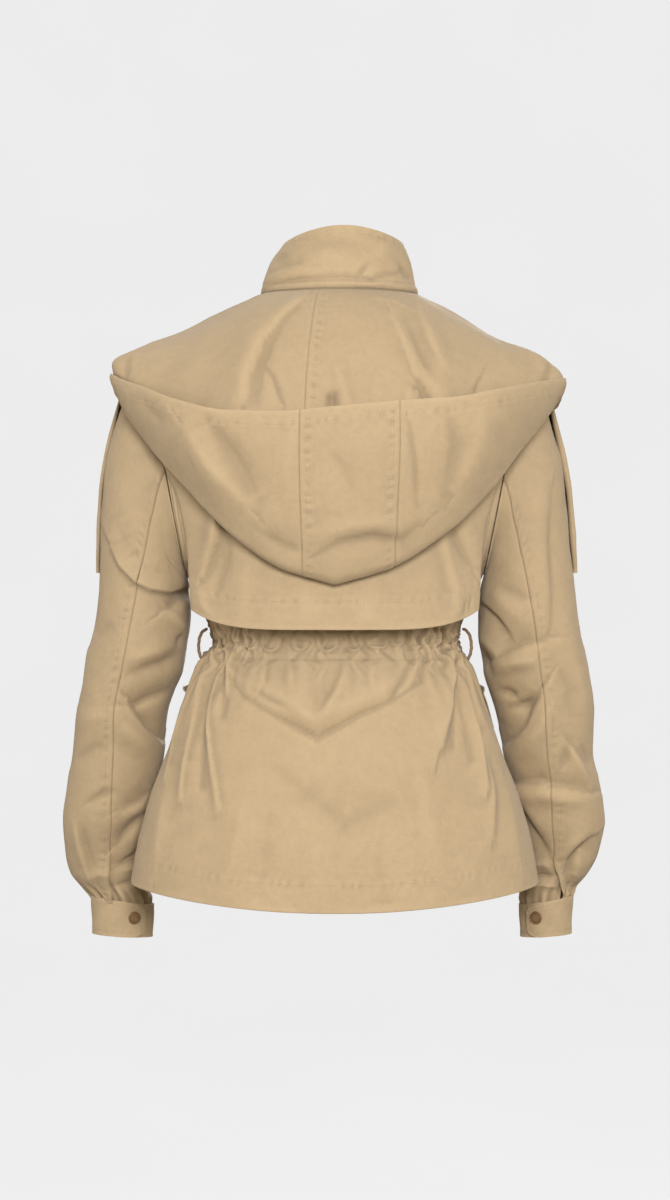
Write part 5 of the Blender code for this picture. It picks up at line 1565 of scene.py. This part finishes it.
def tunnel_line(low, high, relief):
    """The path of the tunnel's lower row of stitches across a body panel, from s = low to high."""
    a, b = np.meshgrid(np.linspace(low, high, 400), TUNNEL_ROW)
    points = body(a, b)
    outward = unit(stack(points[..., 0], points[..., 1], 0.0))
    return (points + outward * relief(a, b, points)[..., None])[0], outward[0]


def back_relief(a, b, points):
    """The back's creases up to the tunnel, the loops and gathers of the drawn waist, and the tunnel."""
    x, z = points[..., 0], points[..., 2]
    below_cape = 1.0 - ease(b - 9.5)
    return (folds(x, z, BACK_CREASES) * below_cape + folds(x, z, loop_creases(WAIST_LOOPS))
            + waist_gathers(np.abs(a), b, np.sign(a), z, BACK_GATHERS / 2, BACK_UNGATHERED) + tunnel(z))


def front_relief(a, b, points):
    """The same on a front, where nothing shows under the placket."""
    x, z = points[..., 0], points[..., 2]
    q = np.clip(2.0 - np.abs(a), 0.0, 1.0)
    gathers = waist_gathers(q, b, np.sign(a), z, FRONT_GATHERS, FRONT_UNGATHERED)
    return ease((q - 0.14) / 0.08) * (folds(x, z, FRONT_CREASES) + gathers) + tunnel(z)


class JACKET_OT_body(JacketOperator, bpy.types.Operator):
    """The back and the two fronts, gathered at the waist, with their hem"""
    bl_idname = "jacket.body"
    bl_label = "Body"

    def execute(self, context):
        edge = 1.0 - 1e-6
        hem = Border("low", "hem", HEM, (HEM - 0.002,), 0.00025)
        cloth("back_cloth", "body_back", body, np.linspace(-edge, edge, 270), spans(*BACK_SPANS),
              (hem, Border("left", "seam"), Border("right", "seam")), back_relief, flip=True, held="gathered")
        for name, side in SIDES:
            across = side * (2.0 - np.linspace(FRONT_CLEARANCE, edge, 80))
            cloth(name + "_front_cloth", "body_front_" + name, body, across, spans(*FRONT_SPANS),
                  (hem, Border("left", "seam"), Border("right", "felled")), front_relief, flip=side < 0,
                  held="gathered")
        stitches("waist_tunnel_stitches", [tunnel_line(-0.99, 0.99, back_relief),
                                           tunnel_line(1.01, 1.83, front_relief),
                                           tunnel_line(-1.83, -1.01, front_relief)])
        return {"FINISHED"}


# The radius of the roll at each shoulder flap's rear edge, left and right.
FLAP_EDGE_ROLLS = (0.0025, 0.0034)


class JACKET_OT_capes(JacketOperator, bpy.types.Operator):
    """The loose back cape and the two front shoulder flaps"""
    bl_idname = "jacket.capes"
    bl_label = "Capes"

    def execute(self, context):
        def relief(a, b, points):
            """The back cape's creases."""
            return folds(points[..., 0], points[..., 2], CAPE_CREASES)

        hem = Border("low", "hem", 0.029, (0.027,), 0.00025)
        cloth("back_cape_cloth", "back_cape", back_cape, np.linspace(-1, 1, 140),
              spans((0, 4, 60), (4, 5, 16)), (hem,), relief, flip=True)
        for (name, side), edge_roll in zip(SIDES, FLAP_EDGE_ROLLS):
            def surface(s, v):
                """The flap, and past s = 1 its rear edge rolled inwards round a half circle."""
                roll = np.pi * np.clip(s - 1.0, 0.0, 1.0)
                radius = edge_roll * (1.0 - ease((v - 3.0) / 0.8)) * (0.6 + 0.4 * ease(v / 1.2))
                return (front_cape(np.minimum(s, 1.0), v, side)
                        + stack(-side * radius * (1.0 - np.cos(roll)), radius * np.sin(roll), 0.0))

            def flap_relief(a, b, points):
                """The flap's creases, gone at its rear edge and at the shoulder."""
                return (folds(points[..., 0], points[..., 2], FRONT_CAPE_CREASES)
                        * ease((1.0 - a) / 0.12) * (1.0 - ease((b - 2.6) / 0.8)))

            borders = (Border("low", "hem", 0.020, (0.018,), 0.0002),
                       Border("left", "plain", 0.0, (0.006,), 0.0002), Border("right", "rolled"))
            cloth(name + "_shoulder_flap_cloth", "front_cape_" + name, surface, spans((0, 1, 68), (1, 2, 8)),
                  spans((0, 3, 40), (3, 4, 20)), borders, flap_relief, flip=side < 0)
        return {"FINISHED"}


class JACKET_OT_sleeves(JacketOperator, bpy.types.Operator):
    """The two-piece sleeves, with a topstitched back seam and a vent above the cuff"""
    bl_idname = "jacket.sleeves"
    bl_label = "Sleeves"

    def execute(self, context):
        rows = spans((0, 3, 12), (3, 16, 216))
        low, high = Border("left", "lapped"), Border("right", "lapped")
        stitched = Border("right", "lapped", 0.0085, (0.0075,), 0.00035)
        for name, side, table, behind, seam in (
                ("left", 1.0, SLEEVE_LEFT, SLEEVE_BACK_LEFT, SLEEVE_BACK_SEAM_LEFT),
                ("right", -1.0, SLEEVE_RIGHT, SLEEVE_BACK_RIGHT, SLEEVE_BACK_SEAM_RIGHT)):
            for piece, across, borders, lap in (
                    ("top", spans((0, 0.5, 22), (0.5, 1, 40)), (stitched, low), VENT_LAP_OVER),
                    ("under", spans((0, 0.55, 38), (0.55, 1, 16)), (low, high), VENT_LAP_UNDER)):
                def surface(u, v):
                    """The panel, with its last centimetre tucked down into the cuff."""
                    tuck = SLEEVE_TUCK * ease((v - 15.5) / 0.5)
                    return sleeve(panel_angle(piece, seam, u, v), v, table, side) - stack(0.0, 0.0, tuck)

                def relief(a, b, points):
                    """Creases behind and in front, small puffs into the cuff, and the vent's lap."""
                    angle = np.radians(panel_angle(piece, seam, a, b))
                    x, z = np.abs(points[..., 0]), points[..., 2]
                    at_back = ease(0.5 + 1.6 * np.sin(angle))
                    puff = 0.0014 * np.sin(11.0 * angle + 1.0) + 0.0010 * np.sin(19.0 * angle)
                    from_vent = (1.0 - a if piece == "top" else a) / 0.10
                    return (at_back * folds(x, z, behind) + (1.0 - at_back) * folds(x, z, SLEEVE_FRONT)
                            + puff * ease((b - 14.0) / 1.8)
                            + lap * ease((b - VENT_ROW) / 1.2) * (1.0 - ease(from_vent))
                            - SLEEVE_TUCK_NARROWS * ease((b - 15.5) / 0.4))

                cloth("%s_sleeve_%s_cloth" % (name, piece), "sleeve_%s_%s" % (piece, name), surface, across,
                      rows, borders, relief, flip=side > 0)
        return {"FINISHED"}


class JACKET_OT_cuffs(JacketOperator, bpy.types.Operator):
    """The cuffs, each a band that laps over itself, stitched all round"""
    bl_idname = "jacket.cuffs"
    bl_label = "Cuffs"

    def execute(self, context):
        borders = (Border("low", "plain", 0.0, (0.003,), 0.0001),
                   Border("high", "plain", 0.0, (0.004,), 0.00015),
                   Border("right", "plain", 0.0, (0.004,), 0.0001))
        for (name, side), table in zip(SIDES, (SLEEVE_LEFT, SLEEVE_RIGHT)):
            def surface(t, v):
                """The band, with the corners of its tab rounded by quarter ellipses."""
                past = np.clip((t - CUFF_TAB) / (1.0 - CUFF_TAB), 0.0, 1.0)
                cut = 1.0 - np.sqrt(np.clip(1.0 - past ** 2, 0.0, 1.0))
                high, low = 0.27 * cut, 1.0 - 0.26 * cut
                return cuff(t, high + (low - high) * v, table, side)

            def relief(a, b, points):
                """Small waves, and below the tab the band lies closer to the wrist."""
                below_tab = 1.0 - ease((a - 0.13) / 0.06)
                return 0.0006 * np.sin(31.0 * a + 4.0 * b) * np.sin(np.pi * b) - 0.0018 * below_tab

            piece = cloth(name + "_cuff_cloth", "cuff_" + name, surface, np.linspace(0, 1, 150),
                          np.linspace(0, 1, 20), borders, relief, flip=side > 0, wall=CUFF_WALL)
            rim = piece.modifiers.new("rounded_edge", "BEVEL")
            rim.width = 0.0006
            rim.segments = 2
            rim.limit_method = "ANGLE"
        return {"FINISHED"}


class JACKET_OT_collar(JacketOperator, bpy.types.Operator):
    """The stand collar, two layers thick"""
    bl_idname = "jacket.collar"
    bl_label = "Collar"

    def execute(self, context):
        def relief(a, b, points):
            """A ridge over a groove above the neck seam, and the creases behind and in front."""
            x, z = points[..., 0], points[..., 2]
            behind = ease(0.5 - 12.0 * (NECK_Y - points[..., 1]))
            seam = 0.0012 * np.exp(-((b - 0.62) / 0.14) ** 2) - 0.0012 * np.exp(-((b - 0.33) / 0.10) ** 2)
            return (seam + behind * folds(x, z, COLLAR_CREASES)
                    + (1.0 - behind) * folds(x, z, COLLAR_FRONT_CREASES))

        borders = (Border("high", "hem", 0.062, (0.006,), 0.00015),
                   Border("low", "seated", 0.0120, (0.0108,), 0.0002))
        cloth("collar_cloth", "collar", collar, np.linspace(-1, 1, 150), spans((0, 1, 18), (1, 3, 14)),
              borders, relief, flip=True)
        return {"FINISHED"}


# The hood's grid lines from the neck seam to the fold, where the seams' stitches start on the outside.
INNER_SPANS = ((0, 0.7, 80), (0.7, 1, 12))
INNER_ROWS = sum(count for _, _, count in INNER_SPANS)


class JACKET_OT_hood(JacketOperator, bpy.types.Operator):
    """The three hood panels as the hood lies thrown back, with topstitched seams and face hem"""
    bl_idname = "jacket.hood"
    bl_label = "Hood"

    def execute(self, context):
        rows = spans(*INNER_SPANS, (1, 2, 10), (2, 3, 66))
        ends = (Border("high", "hem", 0.0135, (0.0120,), 0.00030), Border("low", "neck"))

        def stitched(side, first=0):
            return Border(side, "lapped", 0.0085, (0.0075,), 0.00045, first)

        def plain(side, first=0):
            return Border(side, "lapped", 0.0, (), 0.00045, first)

        def relief(a, b, points):
            """The outside's creases from the fold on, and the inside's where it lies on the shoulders."""
            x, z = points[..., 0], points[..., 2]
            outer = ease((b - 1.6) / 0.5)
            lying = ease((0.95 - b) / 0.25) * ease(b / 0.12)
            return outer * folds(x, z, HOOD_OUTER_CREASES) + lying * folds(x, z, HOOD_INNER_CREASES)

        def side_seen(a, b):
            """The inner layer shows its inside."""
            return np.where(b < 0.92, -1.0, 1.0)

        for name, across, seams in (
                ("left", spans((HOOD_SEAM_LEFT, 1.0, 10), (1.0, 6.0, 76), (6.0, 11.0, 22)), (plain("left"),)),
                ("centre", np.linspace(HOOD_SEAM_RIGHT, HOOD_SEAM_LEFT, 42),
                 (stitched("left", INNER_ROWS), stitched("right"))),
                ("right", spans((-11.0, -6.0, 22), (-6.0, -1.6, 68), (-1.6, HOOD_SEAM_RIGHT, 12)),
                 (plain("right", INNER_ROWS),))):
            cloth("hood_%s_cloth" % name, "hood_" + name, worn_hood, across, rows, seams + ends, relief,
                  flip=True, side_seen=side_seen, lift=CAD_WALL)
        return {"FINISHED"}


class JACKET_OT_pockets(JacketOperator, bpy.types.Operator):
    """The patch pockets and their flaps"""
    bl_idname = "jacket.pockets"
    bl_label = "Pockets"

    def execute(self, context):
        around = [Border(edge, "plain", 0.0, (0.004, 0.010), 0.0001) for edge in ("low", "left", "right")]
        for name, side in SIDES:
            for piece, shape, (low, high), count in (("pocket", pocket, POCKET_ROWS, 50),
                                                     ("pocket_flap", pocket_flap, FLAP_ROWS, 26)):
                def surface(u, v):
                    """The pocket or flap of this side."""
                    return shape(u, v, side)

                cloth("%s_%s_cloth" % (name, piece), "%s_%s" % (piece, name), surface, np.linspace(0, 1, 50),
                      np.linspace(low, high, count), around, flip=side < 0)
        return {"FINISHED"}


class JACKET_OT_placket(JacketOperator, bpy.types.Operator):
    """The strip down the centre front"""
    bl_idname = "jacket.placket"
    bl_label = "Placket"

    def execute(self, context):
        borders = [Border(edge, "plain", 0.0, (0.006,), pucker)
                   for edge, pucker in (("left", 0.00012), ("right", 0.00012), ("low", 0.0001))]
        cloth("front_placket_cloth", "front_placket", placket, np.linspace(-1, 1, 16),
              spans((0, 7, 60), (7, 10, 10), (10, PLACKET_TOP_ROW, 40)), borders)
        return {"FINISHED"}


class JACKET_OT_snaps(JacketOperator, bpy.types.Operator):
    """The snap caps on the placket and the cuffs"""
    bl_idname = "jacket.snaps"
    bl_label = "Snaps"

    def execute(self, context):
        for i, v in enumerate(PLACKET_SNAP_ROWS):
            snap("placket_snap_cap_%d" % (i + 1), "placket_snap_%d" % (i + 1), placket, 0.0, v, (0, -1, 0))
        for (name, side), table in zip(SIDES, (SLEEVE_LEFT, SLEEVE_RIGHT)):
            def band(t, v):
                """The cuff of this side."""
                return cuff(t, v, table, side)

            snap(name + "_cuff_snap_cap", "cuff_snap_" + name, band, CUFF_SNAP_TURN, CUFF_SNAP_DOWN,
                 (0, 1, 0))
        return {"FINISHED"}


OPERATORS = (JACKET_OT_studio, JACKET_OT_drawcords, JACKET_OT_body, JACKET_OT_capes, JACKET_OT_sleeves,
             JACKET_OT_cuffs, JACKET_OT_collar, JACKET_OT_hood, JACKET_OT_pockets, JACKET_OT_placket,
             JACKET_OT_snaps)


class JACKET_PT_pieces(bpy.types.Panel):
    """The jacket's pieces, in the order they are made"""
    bl_label = "Hooded utility jacket"
    bl_idname = "JACKET_PT_pieces"
    bl_space_type = "VIEW_3D"
    bl_region_type = "UI"
    bl_category = "Jacket"

    def draw(self, context):
        for made in OPERATORS:
            self.layout.operator(made.bl_idname)
        for group in (context.scene.jacket_cloth, context.scene.jacket_studio):
            for name in group.bl_rna.properties.keys():
                if name not in {"rna_type", "name"}:
                    self.layout.prop(group, name)


CLASSES = (JacketCloth, JacketStudio) + OPERATORS + (JACKET_PT_pieces,)


def register():
    """Makes the jacket's sizes, operators and panel known to Blender."""
    for made in CLASSES:
        bpy.utils.register_class(made)
    bpy.types.Scene.jacket_cloth = PointerProperty(type=JacketCloth)
    bpy.types.Scene.jacket_studio = PointerProperty(type=JacketStudio)


def unregister():
    """The opposite of register."""
    del bpy.types.Scene.jacket_studio
    del bpy.types.Scene.jacket_cloth
    for made in reversed(CLASSES):
        bpy.utils.unregister_class(made)


def main():
    """Makes the studio and every piece."""
    register()
    for made in OPERATORS:
        group, name = made.bl_idname.split(".")
        getattr(getattr(bpy.ops, group), name)()


if __name__ == "__main__":
    main()
